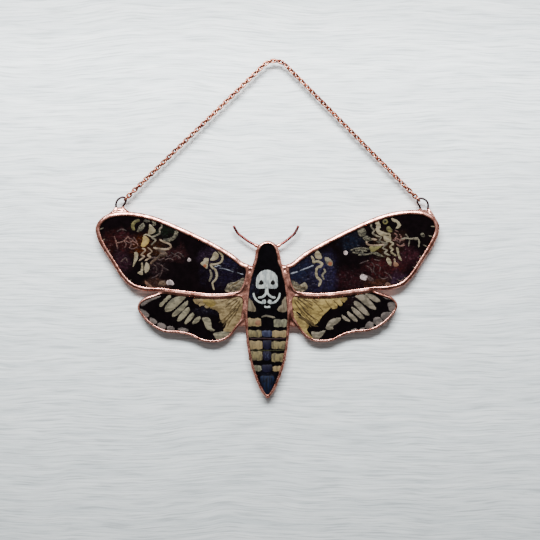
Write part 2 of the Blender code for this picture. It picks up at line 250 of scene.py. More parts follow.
def smooth_step(t):
    t = min(max(t, 0.0), 1.0)
    return t * t * (3 - 2 * t)


def mesh_object(name, vertices, faces, material):
    """A smooth-shaded piece whose faces point outwards."""
    mesh = bpy.data.meshes.new(name)
    mesh.from_pydata([tuple(v) for v in vertices], [], faces)
    work = bmesh.new()
    work.from_mesh(mesh)
    bmesh.ops.recalc_face_normals(work, faces=work.faces)
    work.to_mesh(mesh)
    work.free()
    mesh.materials.append(material)
    mesh.shade_smooth()
    obj = bpy.data.objects.new(name, mesh)
    bpy.context.scene.collection.objects.link(obj)
    return obj


def grid_faces(rings, sides, closed):
    """Faces between rings of vertices; closed joins the last ring to the first."""
    faces = []
    for i in range(rings if closed else rings - 1):
        j = (i + 1) % rings
        for k in range(sides):
            m = (k + 1) % sides
            faces.append((i * sides + k, i * sides + m, j * sides + m, j * sides + k))
    return faces


def end_caps(count, sides):
    """The two faces that close a rod of so many vertices."""
    return [tuple(range(sides - 1, -1, -1)), tuple(range(count - sides, count))]


def tube(points, radii, sides=10):
    """Vertices and faces of a round rod along 3-D points."""
    points = np.array(points, float)
    vertices = []
    depth = np.array([0.0, 1.0, 0.0])
    for p, a, r in zip(points, unit(np.gradient(points, axis=0)), np.broadcast_to(radii, len(points))):
        u = np.cross(a, depth)
        u /= np.linalg.norm(u)
        v = np.cross(a, u)
        for k in range(sides):
            angle = 2 * math.pi * k / sides
            vertices.append(p + r * (math.cos(angle) * u + math.sin(angle) * v))
    return vertices, grid_faces(len(points), sides, closed=False) + end_caps(len(vertices), sides)


def merged(pieces):
    """Several (vertices, faces) pairs as one."""
    vertices, faces = [], []
    for v, f in pieces:
        base = len(vertices)
        vertices += list(v)
        faces += [tuple(i + base for i in face) for face in f]
    return vertices, faces


def apply_modifiers(obj):
    bpy.ops.object.select_all(action="DESELECT")
    obj.select_set(True)
    bpy.context.view_layer.objects.active = obj
    for modifier in list(obj.modifiers):
        bpy.ops.object.modifier_apply(modifier=modifier.name)
    obj.select_set(False)


def enter_piece(obj, slot, *nodes):
    """Hands a piece over: it rides the root and stands for the part's nodes, which it hides. The slot is not
    used.
    """
    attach(obj, "root")
    if nodes:
        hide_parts(*nodes)


class Shader:
    """A small helper that adds nodes to a tree and links them."""

    def __init__(self, tree):
        self.tree = tree

    def fill(self, node, inputs):
        """Links or sets a node's inputs."""
        for key, value in inputs.items():
            if isinstance(value, bpy.types.NodeSocket):
                self.tree.links.new(value, node.inputs[key])
            else:
                node.inputs[key].default_value = value

    def add(self, kind, inputs=None, **settings):
        node = self.tree.nodes.new(kind)
        for key, value in settings.items():
            setattr(node, key, value)
        self.fill(node, inputs or {})
        return node

    def group(self, name, inputs):
        return self.add("ShaderNodeGroup", inputs, node_tree=bpy.data.node_groups[name]).outputs

    def place(self):
        return self.add("ShaderNodeTexCoord").outputs["Object"]

    def height(self, place):
        return self.add("ShaderNodeSeparateXYZ", {0: place}).outputs["Z"]

    def math(self, operation, a, b):
        return self.add("ShaderNodeMath", {0: a, 1: b}, operation=operation).outputs[0]

    def vector(self, operation, a, b):
        return self.add("ShaderNodeVectorMath", {0: a, 1: b}, operation=operation).outputs[0]

    def length(self, vector):
        return self.add("ShaderNodeVectorMath", {0: vector}, operation="LENGTH").outputs["Value"]

    def mapped(self, vector, scale, rotation=(0, 0, 0)):
        inputs = {"Vector": vector, "Rotation": rotation, "Scale": scale}
        return self.add("ShaderNodeMapping", inputs).outputs[0]

    def mix(self, factor, a, b, blend="MIX"):
        inputs = {0: factor, 6: a, 7: b}
        return self.add("ShaderNodeMix", inputs, data_type="RGBA", blend_type=blend).outputs[2]

    def noise(self, vector, scale, detail, roughness):
        inputs = {"Vector": vector, "Scale": scale, "Detail": detail, "Roughness": roughness}
        return self.add("ShaderNodeTexNoise", inputs).outputs["Fac"]

    def drift(self, vector, scale):
        """Three slow waves at once, as a vector of shares."""
        inputs = {"Vector": vector, "Scale": scale, "Detail": 3.0}
        return self.add("ShaderNodeTexNoise", inputs).outputs["Color"]

    def ramp(self, value, low, high, kind="SMOOTHSTEP"):
        inputs = {"Value": value, "From Min": low, "From Max": high}
        return self.add("ShaderNodeMapRange", inputs, interpolation_type=kind).outputs[0]

    def bump(self, height, strength, distance):
        inputs = {"Height": height, "Strength": strength, "Distance": distance}
        return self.add("ShaderNodeBump", inputs).outputs[0]


def new_group(name, inputs, outputs):
    """A named shader node group, from its sockets and their kinds, and the helper that fills it."""
    tree = bpy.data.node_groups.new(name, "ShaderNodeTree")
    for sockets, way in ((inputs, "INPUT"), (outputs, "OUTPUT")):
        for socket, kind in sockets.items():
            tree.interface.new_socket(socket, in_out=way, socket_type=f"NodeSocket{kind}")
    return Shader(tree), tree.nodes.new("NodeGroupInput").outputs, tree.nodes.new("NodeGroupOutput")


TINT_DRIFT = (9 * MM, 0.0, 9 * MM)
TINT_FLECK = (0.16, 0.14, 0.15, 1.0)
TINT_SOOT = (0.002, 0.001, 0.001, 1.0)


def tint_group():
    """Lays a cloudy patch of colour over another colour, with pale flecks and sooty spots in it."""
    inputs = {"Under": "Color", "Tint": "Color", "Centre": "Vector", "Reach": "Vector", "Position": "Vector"}
    s, given, made = new_group("cloudy_tint", inputs, {"Colour": "Color"})
    position = given["Position"]
    centred = s.vector("SUBTRACT", s.drift(position, 210.0), (0.5, 0.5, 0.5))
    moved = s.vector("ADD", position, s.vector("MULTIPLY", centred, TINT_DRIFT))
    away = s.length(s.vector("DIVIDE", s.vector("SUBTRACT", moved, given["Centre"]), given["Reach"]))
    speckle = s.ramp(s.noise(position, scale=900.0, detail=5.0, roughness=0.7), 0.38, 0.62)
    cover = s.math("ADD", s.math("MULTIPLY", speckle, 0.75), 0.25)
    mask = s.math("MULTIPLY", s.ramp(away, 1.15, 0.35), cover)
    brushed = s.mapped(position, (1, 1, 2.4), rotation=(0, 0.5, 0))
    fleck = s.ramp(s.noise(brushed, scale=620.0, detail=5.0, roughness=0.7), 0.54, 0.72)
    lit = s.mix(s.math("MULTIPLY", fleck, 0.35), given["Tint"], TINT_FLECK, "SCREEN")
    soot = s.ramp(s.noise(brushed, scale=380.0, detail=5.0, roughness=0.75), 0.60, 0.40)
    lit = s.mix(s.math("MULTIPLY", soot, 0.6), lit, TINT_SOOT)
    s.fill(made, {"Colour": s.mix(mask, given["Under"], lit)})


def brushed_group():
    """Brush streaks and dry patches in a coat of two mixed paints, and the relief they leave."""
    inputs = {"Paint": "Color", "Second": "Color", "Worn": "Color", "Dryness": "Float", "Stretch": "Vector"}
    s, given, made = new_group("brushed_paint", inputs, {"Colour": "Color", "Height": "Float"})
    place = s.place()
    brushed = s.mapped(place, given["Stretch"])
    streak = s.noise(brushed, scale=620.0, detail=4.0, roughness=0.7)
    grain = s.noise(place, scale=1300.0, detail=4.0, roughness=0.7)
    both = s.math("ADD", s.math("MULTIPLY", streak, 0.6), s.math("MULTIPLY", grain, 0.4))
    worn = s.ramp(s.math("SUBTRACT", s.math("ADD", given["Dryness"], 0.22), both), -0.02, 0.10)
    patches = s.ramp(s.noise(brushed, scale=330.0, detail=3.0, roughness=0.6), 0.42, 0.60)
    mixed = s.mix(patches, given["Paint"], given["Second"])
    shade = s.math("ADD", s.math("MULTIPLY", both, 1.5), 0.22)
    grey = s.add("ShaderNodeCombineColor", {0: shade, 1: shade, 2: shade}).outputs[0]
    painted = s.mix(1.0, mixed, grey, "MULTIPLY")
    s.fill(made, {"Colour": s.mix(worn, painted, given["Worn"]), "Height": both})


def new_material(name):
    material = bpy.data.materials.new(name)
    material.use_nodes = True
    return material, Shader(material.node_tree), material.node_tree.nodes["Principled BSDF"]


WORN_PAINT = (22, 14, 15)


def paint(name, rgb, second, dryness, stretch):
    """A dull coat of two mixed paints; stretch is how fine its streaks are along each axis."""
    material, s, surface = new_material(name)
    given = {
        "Paint": linear(rgb),
        "Second": linear(second),
        "Worn": linear(WORN_PAINT),
        "Dryness": dryness,
        "Stretch": stretch,
    }
    coat = s.group("brushed_paint", given)
    looks = {
        "Base Color": coat["Colour"],
        "Normal": s.bump(coat["Height"], strength=0.3, distance=0.1 * MM),
        "Roughness": 0.5,
        "Specular IOR Level": 0.08,
    }
    s.fill(surface, looks)
    return material


MOTTLE_LIFT = 1.7


def glass(name, base, tints):
    """Dark painted glass with cloudy patches: each tint is a colour, a centre and a reach in pixels."""
    material, s, surface = new_material(name)
    place = s.place()
    mottle = s.ramp(s.noise(place, scale=420.0, detail=4.0, roughness=0.6), 0.35, 0.75)
    colour = s.mix(mottle, linear(base), linear([c * MOTTLE_LIFT for c in base]))
    for rgb, centre, reach in tints:
        x, z = spot(centre)
        given = {
            "Under": colour,
            "Tint": linear(rgb),
            "Centre": (x, 0.0, z),
            "Reach": (reach[0] * PIXEL, 1.0, reach[1] * PIXEL),
            "Position": place,
        }
        colour = s.group("cloudy_tint", given)["Colour"]
    wave = s.noise(place, scale=160.0, detail=2.0, roughness=0.5)
    looks = {
        "Base Color": colour,
        "Normal": s.bump(wave, strength=0.2, distance=0.4 * MM),
        "Roughness": 0.18,
        "Specular IOR Level": 0.06,
    }
    s.fill(surface, looks)
    return material


# Each metal: its bright and dull colours, its colour at a grazing look, its least and most
# roughness, and the depth of its relief.
METALS = {
    "copper_solder": ((230, 166, 150), (138, 89, 77), (124, 86, 88), (0.16, 0.36), 0.3 * MM),
    "copper_wire": ((134, 74, 70), (84, 46, 46), (90, 58, 62), (0.2, 0.36), 0.05 * MM),
    "loop_wire": ((60, 42, 44), (36, 27, 30), (64, 50, 52), (0.3, 0.5), 0.05 * MM),
    "chain_copper": ((206, 142, 118), (124, 72, 64), (92, 54, 52), (0.16, 0.34), 0.03 * MM),
}


def metal(name):
    """Metal with dull clouds in it, and a gloss that changes finely."""
    material, s, surface = new_material(name)
    bright, dull, edge, (polished, rough), relief = METALS[name]
    place = s.place()
    cloud = s.noise(place, scale=330.0, detail=4.0, roughness=0.6)
    fine = s.noise(place, scale=1500.0, detail=3.0, roughness=0.6)
    gloss = s.add("ShaderNodeMapRange", {"Value": fine, "To Min": polished, "To Max": rough})
    looks = {
        "Base Color": s.mix(s.ramp(cloud, 0.35, 0.68), metal_tone(bright), metal_tone(dull)),
        "Normal": s.bump(cloud, strength=0.5, distance=relief),
        "Roughness": gloss.outputs[0],
        "Metallic": 1.0,
        "Specular Tint": metal_tone(edge),
    }
    s.fill(surface, looks)
    return material


BOARD_BEHIND = 4.4 * MM
BOARD_SIZE = 2.4
BOARD_HEIGHT = -0.1
BOARD_PAINT = (0.68, 0.76, 0.79, 1.0)
BOARD_STREAK = (0.91, 0.98, 1.0, 1.0)
BOARD_LINE = (0.30, 0.35, 0.37, 1.0)
BOARD_SHADE = (0.0, 0.0, 0.0, 1.0)


def board_material():
    """Pale brushed paint with painted shade towards the bottom and the top, seen only from the front, that
    lets the light behind it through.
    """
    material, s, surface = new_material("board_paint")
    place = s.place()
    warp = s.vector("MULTIPLY", s.drift(place, 9.0), (0.0, 0.0, 0.02))
    warped = s.vector("ADD", place, warp)
    wide = s.mapped(warped, (12.0, 1.0, 300.0), rotation=(0, 0.02, 0))
    thin = s.mapped(warped, (44.0, 1.0, 1300.0), rotation=(0, -0.03, 0))
    streak = s.noise(wide, scale=1.0, detail=6.0, roughness=0.72)
    lines = s.ramp(s.noise(thin, scale=1.0, detail=3.0, roughness=0.6), 0.42, 0.72)
    tone = s.mix(s.ramp(streak, 0.32, 0.66), BOARD_PAINT, BOARD_STREAK)
    tone = s.mix(s.math("MULTIPLY", lines, 0.65), tone, BOARD_LINE)
    # Painted shade: the board is darkened towards the bottom, and a little towards the top.
    height = s.height(place)
    low = s.math("MULTIPLY", s.ramp(height, -0.02, -0.27, "LINEAR"), 0.42)
    high = s.math("MULTIPLY", s.ramp(height, 0.0, 0.035), 0.25)
    tone = s.mix(s.math("ADD", low, high), tone, BOARD_SHADE)
    relief = s.bump(streak, strength=0.35, distance=0.6 * MM)
    s.fill(surface, {"Base Color": tone, "Normal": relief, "Roughness": 0.5})
    clear = s.add("ShaderNodeBsdfTransparent")
    behind = s.add("ShaderNodeNewGeometry").outputs["Backfacing"]
    shadow = s.add("ShaderNodeLightPath").outputs["Is Shadow Ray"]
    unseen = s.math("MAXIMUM", behind, shadow)
    both = s.add("ShaderNodeMixShader", {0: unseen, 1: surface.outputs[0], 2: clear.outputs[0]})
    s.fill(s.tree.nodes["Material Output"], {"Surface": both.outputs[0]})
    return material


# The pane's front face is read for its edge, which is then walked at this step.
FRONT_NORMAL = -0.9
EDGE_STEP = 0.5 * MM

# Rays measure the part's rims from this far off: outside in the middle plane, and inside at the
# depth of the lip. Where none meets the rim, the bead and its lip have their usual reach.
RAY_RUN = 3 * MM
LIP_DEPTH = -1.9 * MM
USUAL_BEAD = 0.8 * MM
USUAL_LIP = 0.7 * MM

# A bead that stands out less than twice this is lower too, down to a share of its rise.
THIN_BEAD = 0.35 * MM
THIN_RISE = 0.35
CROWN_STEPS = 11

# The seams between panes: how far apart the edges may be, the seam's half thickness and its lap
# over each edge. A seam sinks by a share of its height towards its ends.
WING_SEAM = (2.4 * MM, 2.5 * MM, 0.95 * MM)
FORE_BODY_SEAM = (3.6 * MM, 2.35 * MM, 0.9 * MM)
HIND_BODY_SEAM = (2.6 * MM, 2.35 * MM, 0.9 * MM)
SEAM_SIDES = 20
SEAM_END = 4 * MM
SEAM_SINK = 0.3

# Solder that fills the corners between the panes: low webs and higher knots.
WEB_FACE = 1.5 * MM
WEBS_PX = [
    [(247, 311), (241, 311), (240, 318), (238, 324), (241, 326.5), (246.5, 325.5)],
    [(288.5, 312), (294, 312), (295.5, 318), (298.5, 325), (294, 327), (288.8, 325)],
]
KNOT_FACE = 1.9 * MM
KNOTS_PX = [
    [(240, 291), (244, 289), (248.5, 288), (249, 293), (248.5, 300), (244, 298.5), (240, 297)],
    [
        (294.5, 290.6), (290, 288.5), (286, 288), (285.8, 294), (286.5, 300), (290.5, 298.5),
        (294.5, 296.4),
    ],
]

# Drops where seams meet: a centre and a radius in pixels, and the half thickness in millimetres.
DROPS_PX = [
    ((250.0, 268.5), 3.2, 2.4),
    ((284.0, 268.0), 3.2, 2.4),
    ((244.5, 306.0), 2.2, 2.1),
    ((289.5, 304.5), 2.4, 2.1),
    ((163.0, 291.5), 3.0, 2.2),
    ((369.0, 289.5), 3.0, 2.2),
    ((267.8, 396.0), 2.4, 2.0),
]

# The flares of solder at the loops' feet: each a run of centres and half widths.
FLARE_FACE = 1.75 * MM
FLARE_SIDES = 16
FLARES_PX = {
    "left": [
        [
            ((102.5, 220.2), 1.1), ((106, 217.6), 1.4), ((110, 214.8), 1.6), ((114, 211.2), 1.7),
            ((116.8, 207.4), 1.2),
        ],
        [
            ((135, 215.3), 1.4), ((130, 213.9), 1.9), ((126, 211.8), 2.0), ((123.4, 209), 1.7),
            ((122.6, 206), 1.1),
        ],
        [
            ((109, 217), 1.6), ((114, 213.4), 2.6), ((119.4, 210.4), 3.2), ((124, 212.4), 2.8),
            ((130, 215.4), 1.6),
        ],
    ],
    "right": [
        [((412, 212.4), 1.3), ((416, 212), 1.7), ((419.5, 210.6), 1.8), ((421.4, 208.6), 1.1)],
        [((434.8, 219), 1.2), ((432.6, 215.6), 1.6), ((430, 212.2), 1.8), ((428.2, 208.8), 1.2)],
        [((416, 213.2), 1.4), ((421.5, 212), 2.2), ((426, 212.4), 2.4), ((430.5, 215.6), 2.0)],
    ],
}

# Solder that runs out along each feeler's root, and back from it over the body's rim.
ROOT_RADII = [1.0 * MM, 0.9 * MM, 0.75 * MM, 0.55 * MM]
ROOT_BACK = (1.6 * MM, 0.8 * MM)

# The skin of the solder: the grain it is poured in, how often it is evened out, the height of its
# lumps, their wide and fine scales and the share of the fine ones, how far from the body they are
# larger, and its triangles at most.
POUR_GRAIN = 0.2 * MM
FLOW_PASSES = 12
RIPPLE = 0.1 * MM
RIPPLE_WIDE = 240
RIPPLE_FINE = 620
RIPPLE_FINE_SHARE = 0.3
COLUMN_REACH = 9 * MM
SOLDER_TRIANGLES = 185000
WIRE_CREASE = math.radians(60)


def glass_edge(frame, node):
    """The edge of a CAD pane's front face, as an even smooth line, anticlockwise from the front."""
    mesh = frame["nodes"][node].data
    used = {}
    for face in mesh.polygons:
        if face.normal.y < FRONT_NORMAL:
            corners = [tuple(round(c, 6) for c in mesh.vertices[i].co) for i in face.vertices]
            for a, b in zip(corners, corners[1:] + corners[:1]):
                if (b, a) in used:
                    del used[(b, a)]
                else:
                    used[(a, b)] = True
    after = {a: b for a, b in used}
    start = min(after)
    loop = [start]
    while after[loop[-1]] != start:
        loop.append(after[loop[-1]])
    line = anticlockwise(np.array([(x, z) for x, _, z in loop]))
    return even(spline(line, closed=True), EDGE_STEP, closed=True)


def rim_reach(frame, node, line):
    """How far the CAD rim stands out of the glass edge, and how far it laps over the glass."""
    mesh = frame["nodes"][node].data
    tree = BVHTree.FromPolygons([v.co for v in mesh.vertices], [f.vertices for f in mesh.polygons])
    beads, lips = [], []
    for (x, z), (nx, nz) in zip(line, outward(line)):
        dx, dz = nx * RAY_RUN, nz * RAY_RUN
        beyond = tree.ray_cast(Vector((x + dx, 0, z + dz)), Vector((-nx, 0, -nz)), RAY_RUN)
        within = tree.ray_cast(Vector((x - dx, LIP_DEPTH, z - dz)), Vector((nx, 0, nz)), RAY_RUN)
        beads.append(RAY_RUN - beyond[3] if beyond[0] else USUAL_BEAD)
        lips.append(RAY_RUN - within[3] if within[0] else USUAL_LIP)
    return settle(beads), settle(lips)


def bead_sweep(line, beads, lips, crown):
    """Solder round a glass edge: upright walls, and a crown that leans towards the glass."""
    turns = np.linspace(0, math.pi, CROWN_STEPS)
    across = np.cos(turns)
    across = across - CROWN_LEAN * (1 - across**2)
    rise = (crown - GLASS_FACE) * np.sin(turns)
    section = [(u, -1, r) for u, r in zip(across, rise)]
    section += [(u, 1, r) for u, r in zip(across[::-1], rise[::-1])]
    vertices = []
    for (x, z), (nx, nz), bead, lip in zip(line, outward(line), beads, lips):
        middle, half = (bead - lip) / 2, (bead + lip) / 2
        full = THIN_RISE + (1 - THIN_RISE) * smooth_step((bead - THIN_BEAD) / THIN_BEAD)
        for u, way, r in section:
            out = middle + half * u
            vertices.append((x + nx * out, way * (GLASS_FACE + full * r), z + nz * out))
    return vertices, grid_faces(len(line), len(section), closed=True)


def seam_between(a, b, reach):
    """The middle line between two glass edges where they run side by side, and half their gap."""
    apart = np.linalg.norm(a[:, None] - b[None], axis=2)
    nearest = apart.argmin(axis=1)
    gap = apart.min(axis=1)
    close = gap < reach
    turn = int(np.argmin(close)) if not close.all() else 0
    order = np.roll(np.arange(len(a)), -turn)
    picked = [i for i in order if close[i]]
    middle = (a[picked] + b[nearest[picked]]) / 2
    return middle, gap[picked] / 2


def seam_sweep(middle, half, crown, lap):
    """A rounded seam of solder over the gap between two panes."""
    line = settle_line(middle)
    vertices, faces = tube(in_plane(line), settle(half, 2) + lap, SEAM_SIDES)
    measure = along_of(line)
    sunk = [1 - SEAM_SINK * (1 - smooth_step(min(s, measure[-1] - s) / SEAM_END)) for s in measure]
    tall = crown / (half.mean() + lap)
    return [(x, y * tall * sunk[i // SEAM_SIDES], z) for i, (x, y, z) in enumerate(vertices)], faces


def drop(centre, radius, depth):
    """A flattened drop of solder; depth is its half thickness."""
    mesh = bmesh.new()
    bmesh.ops.create_icosphere(mesh, subdivisions=3, radius=1.0)
    x, z = spot(centre)
    vertices = [(x + v.co.x * radius, v.co.y * depth, z + v.co.z * radius) for v in mesh.verts]
    faces = [tuple(v.index for v in f.verts) for f in mesh.faces]
    mesh.free()
    return vertices, faces


def fill_between(outline, depth):
    """A flat fill of solder inside an outline; depth is its half thickness."""
    line = [spot(p) for p in outline]
    count = len(line)
    vertices = [(x, -depth, z) for x, z in line] + [(x, depth, z) for x, z in line]
    faces = [tuple(range(count)), tuple(range(2 * count - 1, count - 1, -1))]
    faces += [(i, (i + 1) % count, count + (i + 1) % count, count + i) for i in range(count)]
    return vertices, faces


def flare(run):
    """A tongue of solder along a run of centres and half widths."""
    centres = spline([p for p, _ in run], per=5)
    reach = spline([(r, 0.0) for _, r in run], per=5)[:, 0] * PIXEL
    vertices, faces = tube(in_plane(map(spot, centres)), reach, FLARE_SIDES)
    deep = FLARE_FACE / reach.max()
    return [(x, y * deep, z) for x, y, z in vertices], faces


def feeler_root(side, hand):
    """Solder along the first of a feeler, and back from it over the body's rim."""
    root = feeler_line(side)[: len(ROOT_RADII)]
    x, z = root[0]
    back = (x - hand * ROOT_BACK[0], z - ROOT_BACK[1])
    return [tube(in_plane(root), ROOT_RADII), tube(in_plane([back, (x, z)]), ROOT_RADII[0])]


def solder(frame, edges):
    """All the solder as one poured skin: rims, seams, drops, fills and the wires' feet."""
    pieces = []
    for name, line in edges.items():
        beads, lips = rim_reach(frame, name.replace("glass", "rim"), line)
        share, crown = (HIND_BEAD, HIND_CROWN) if "hind" in name else (1.0, CROWN)
        pieces.append(bead_sweep(line, beads * share + BEAD_FULLER, lips * share + BEAD_FULLER * 2, crown))
    body = edges["body_glass"]
    for side in SIDES:
        fore, hind = edges[f"forewing_glass_{side}"], edges[f"hindwing_glass_{side}"]
        seams = (hind, fore, WING_SEAM), (fore, body, FORE_BODY_SEAM), (hind, body, HIND_BODY_SEAM)
        for a, b, (reach, crown, lap) in seams:
            middle, half = seam_between(a, b, reach)
            pieces.append(seam_sweep(middle, half, crown, lap))
    pieces += [drop(centre, radius * PIXEL, depth * MM) for centre, radius, depth in DROPS_PX]
    pieces += [fill_between(web, WEB_FACE) for web in WEBS_PX]
    pieces += [fill_between(knot, KNOT_FACE) for knot in KNOTS_PX]
    for side, hand in SIDES.items():
        pieces += [flare(run) for run in FLARES_PX[side]]
        pieces += feeler_root(side, hand)
    obj = mesh_object("solder", *merged(pieces), metal("copper_solder"))
    pour = obj.modifiers.new("pour", "REMESH")
    pour.mode = "VOXEL"
    pour.voxel_size = POUR_GRAIN
    flow = obj.modifiers.new("flow", "SMOOTH")
    flow.factor = 0.5
    flow.iterations = FLOW_PASSES
    apply_modifiers(obj)
    ripple(obj)
    thin = obj.modifiers.new("thin", "DECIMATE")
    thin.ratio = min(1.0, SOLDER_TRIANGLES / (2 * len(obj.data.polygons)))
    apply_modifiers(obj)
    obj.data.shade_smooth()
    enter_piece(obj, "copper_solder", *[n.replace("glass", "rim") for n in edges])


def ripple(obj):
    """Uneven hand-laid solder: small lumps in the skin, larger beside the body."""
    mesh = obj.data
    places = np.zeros(3 * len(mesh.vertices))
    normals = np.zeros(3 * len(mesh.vertices))
    mesh.vertices.foreach_get("co", places)
    mesh.vertices.foreach_get("normal", normals)
    places = places.reshape(-1, 3)
    lumps = []
    for place in places:
        wide = noise.noise(Vector(place) * RIPPLE_WIDE)
        fine = noise.noise(Vector(place) * RIPPLE_FINE)
        larger = 1 + smooth_step(2 - abs(place[0] - MOTH[0]) / COLUMN_REACH)
        lumps.append((wide + RIPPLE_FINE_SHARE * fine) * larger)
    moved = places + normals.reshape(-1, 3) * np.array(lumps)[:, None] * RIPPLE
    mesh.vertices.foreach_set("co", moved.ravel())
    mesh.update()


def feeler_line(side):
    """A feeler's middle line, as x and z."""
    root = FEELER[0][0]
    points = [((root + (x - root) * FEELER_SPREAD[side]) * SIDES[side], z) for x, z in FEELER]
    return even(spline(points) * MM, FEELER_STEP) + np.array(MOTH)


def wire(name, points, radius, material, tip=1.0):
    """A round wire along 3-D points; tip is the share of its thickness left at the far end."""
    bpy.ops.object.select_all(action="DESELECT")
    bpy.ops.curve.primitive_nurbs_path_add(location=(0, 0, 0))
    obj = bpy.context.object
    curve = obj.data
    curve.splines.clear()
    run = curve.splines.new("POLY")
    run.points.add(len(points) - 1)
    for point, place in zip(run.points, points):
        point.co = (*place, 1.0)
    run.points[-1].radius = tip
    curve.bevel_depth = radius
    curve.bevel_resolution = 4
    curve.use_fill_caps = True
    bpy.ops.object.convert(target="MESH")
    obj = bpy.context.object
    obj.name = name
    obj.data.materials.clear()
    obj.data.materials.append(material)
    bpy.ops.object.shade_smooth_by_angle(angle=WIRE_CREASE)
    obj.select_set(False)
    return obj


def feeler(side, material):
    stem = wire(f"feeler_{side}", in_plane(feeler_line(side)), FEELER_WIRE, material, FEELER_TIP)
    enter_piece(stem, "copper_wire", f"antenna_{side}")


def loop_spot(side, u, v):
    """A place on a hanging loop, from the sizes of its outline in millimetres."""
    x, z = LOOP_FOOT[side]
    return x - u * MM * SIDES[side], 0.0, z + (v * LOOP_SQUASH[side] + LOOP_RISE) * MM


def hanging_loop(side, material):
    points = []
    for u, v in even(spline(LOOP), LOOP_STEP):
        pinch = LOOP_PINCH[side] * (1 - v / LOOP_TOP) if u > 0 else 0.0
        points.append(loop_spot(side, u * (1 - pinch), v))
    enter_piece(wire(f"loop_{side}", points, LOOP_WIRE_SEEN, material), "loop_wire", f"hanging_loop_{side}")


def chain_route():
    """The chain's middle line from the left loop over the peg to the right one, as x and z."""
    start = np.array(loop_spot("left", *LOOP_PULL))[[0, 2]]
    end = np.array(loop_spot("right", *LOOP_PULL))[[0, 2]]
    bend = PEG + LINK_WIRE + LINK_EYE / 2
    centre = np.array([0.0, -PEG])
    leans = []
    for point, hand in ((start, 1), (end, -1)):
        away = point - centre
        lean = math.atan2(away[1], away[0]) - hand * math.acos(bend / np.linalg.norm(away))
        leans.append(lean % (2 * math.pi))
    turns = np.linspace(*leans, PEG_STEPS)
    arc = centre + bend * np.stack([np.cos(turns), np.sin(turns)], axis=1)
    return np.concatenate([[start], arc, [end]])


def link_mesh(centre, along, roll, eye, eye_long):
    """One oval link of round wire."""
    bend = (eye + LINK_WIRE) / 2
    straight = (eye_long - eye) / 2
    path = []
    for end in (1, -1):
        for k in range(LINK_TURNS + 1):
            angle = math.pi * (k / LINK_TURNS - 0.5)
            path.append((end * (straight + bend * math.cos(angle)), end * bend * math.sin(angle)))
    path = np.array(path)
    side = np.array([-along[2] * math.cos(roll), math.sin(roll), along[0] * math.cos(roll)])
    across = np.cross(along, side)
    vertices = []
    for (u, v), (nu, nv) in zip(path, outward(path)):
        for k in range(LINK_SIDES):
            angle = 2 * math.pi * (k + 0.5) / LINK_SIDES
            out, deep = LINK_WIRE / 2 * math.cos(angle), LINK_WIRE / 2 * math.sin(angle)
            vertices.append(centre + (u + nu * out) * along + (v + nv * out) * side + deep * across)
    return vertices, grid_faces(len(path), LINK_SIDES, closed=True)


def chain_roll(s, length):
    """How far the links lie over at s along the chain; those at the loops stand upright."""
    right_share = smooth_step((s - length / 2) / TWIST_LENGTH)
    free_share = smooth_step(min(s, length - s) / TWIST_LENGTH)
    roll = CHAIN_ROLL["left"] + (CHAIN_ROLL["right"] - CHAIN_ROLL["left"]) * right_share
    return roll * free_share


def chain(material):
    """Oval links from loop to loop, every other one turned across."""
    line = chain_route()
    length = along_of(line)[-1]
    overhang = LOOP_WIRE + LINK_GAP
    pitch = (length + 2 * overhang + LINK_BITE) / LINK_COUNT
    eye_long = pitch - LINK_BITE
    first, last = unit(np.array([line[0] - line[1], line[-1] - line[-2]])) * CHAIN_LEAD
    longer = np.concatenate([[line[0] + first], line, [line[-1] + last]])
    reach = along_of(longer) - CHAIN_LEAD
    links, path = [], []
    for i in range(LINK_COUNT):
        s = eye_long / 2 - overhang + i * pitch
        ends = np.array([[np.interp(t, reach, c) for c in longer.T] for t in (s - pitch / 2, s + pitch / 2)])
        heading = np.insert(unit(np.diff(ends, axis=0))[0], 1, 0.0)
        centre = np.insert(ends.mean(axis=0), 1, 0.0)
        roll = chain_roll(s, length) + (math.pi / 2 if i % 2 == 0 else 0.0)
        eye = END_EYE if i in (0, LINK_COUNT - 1) else LINK_EYE
        links.append(link_mesh(centre, heading, roll, eye, eye_long))
        path.append(tuple(centre))
    obj = mesh_object("chain_links", *merged(links), material)
    enter_piece(obj, "chain_copper", "chain")


# A coat of paint: its foot is sunk in the glass, a second coat stands higher than the first, and
# its top edge is rounded.
COAT_FOOT = 0.03 * MM
COAT_RISE = 0.04 * MM
COAT_EDGE = 0.05 * MM
COAT_ROUND = 0.02 * MM
PAINT_STEP = 0.2 * MM
DOT_CORNERS = 12

# An outline wavers by this much, on a wide scale and by a share on a fine one, and by another
# pattern in each coat. A stroke's width is uneven, and grows by this share a step from its ends.
WAVER = 0.18 * MM
WAVER_WIDE = 1500
WAVER_FINE = 3600
WAVER_FINE_SHARE = 0.6
WAVER_COAT = 0.01
STROKE_WAVER = 0.35
STROKE_SCALE = 1400
STROKE_GROWTH = 0.3
NOISE_DEPTH = 0.02

# A stroke across: how far out, in half widths, and how high, in coats.
BRUSH_SECTION = ((-1.0, -0.03), (-0.8, 0.75), (-0.3, 1.0), (0.3, 1.0), (0.8, 0.75), (1.0, -0.03))


def coat_height(lift):
    return COAT_FOOT + COAT_RISE * lift


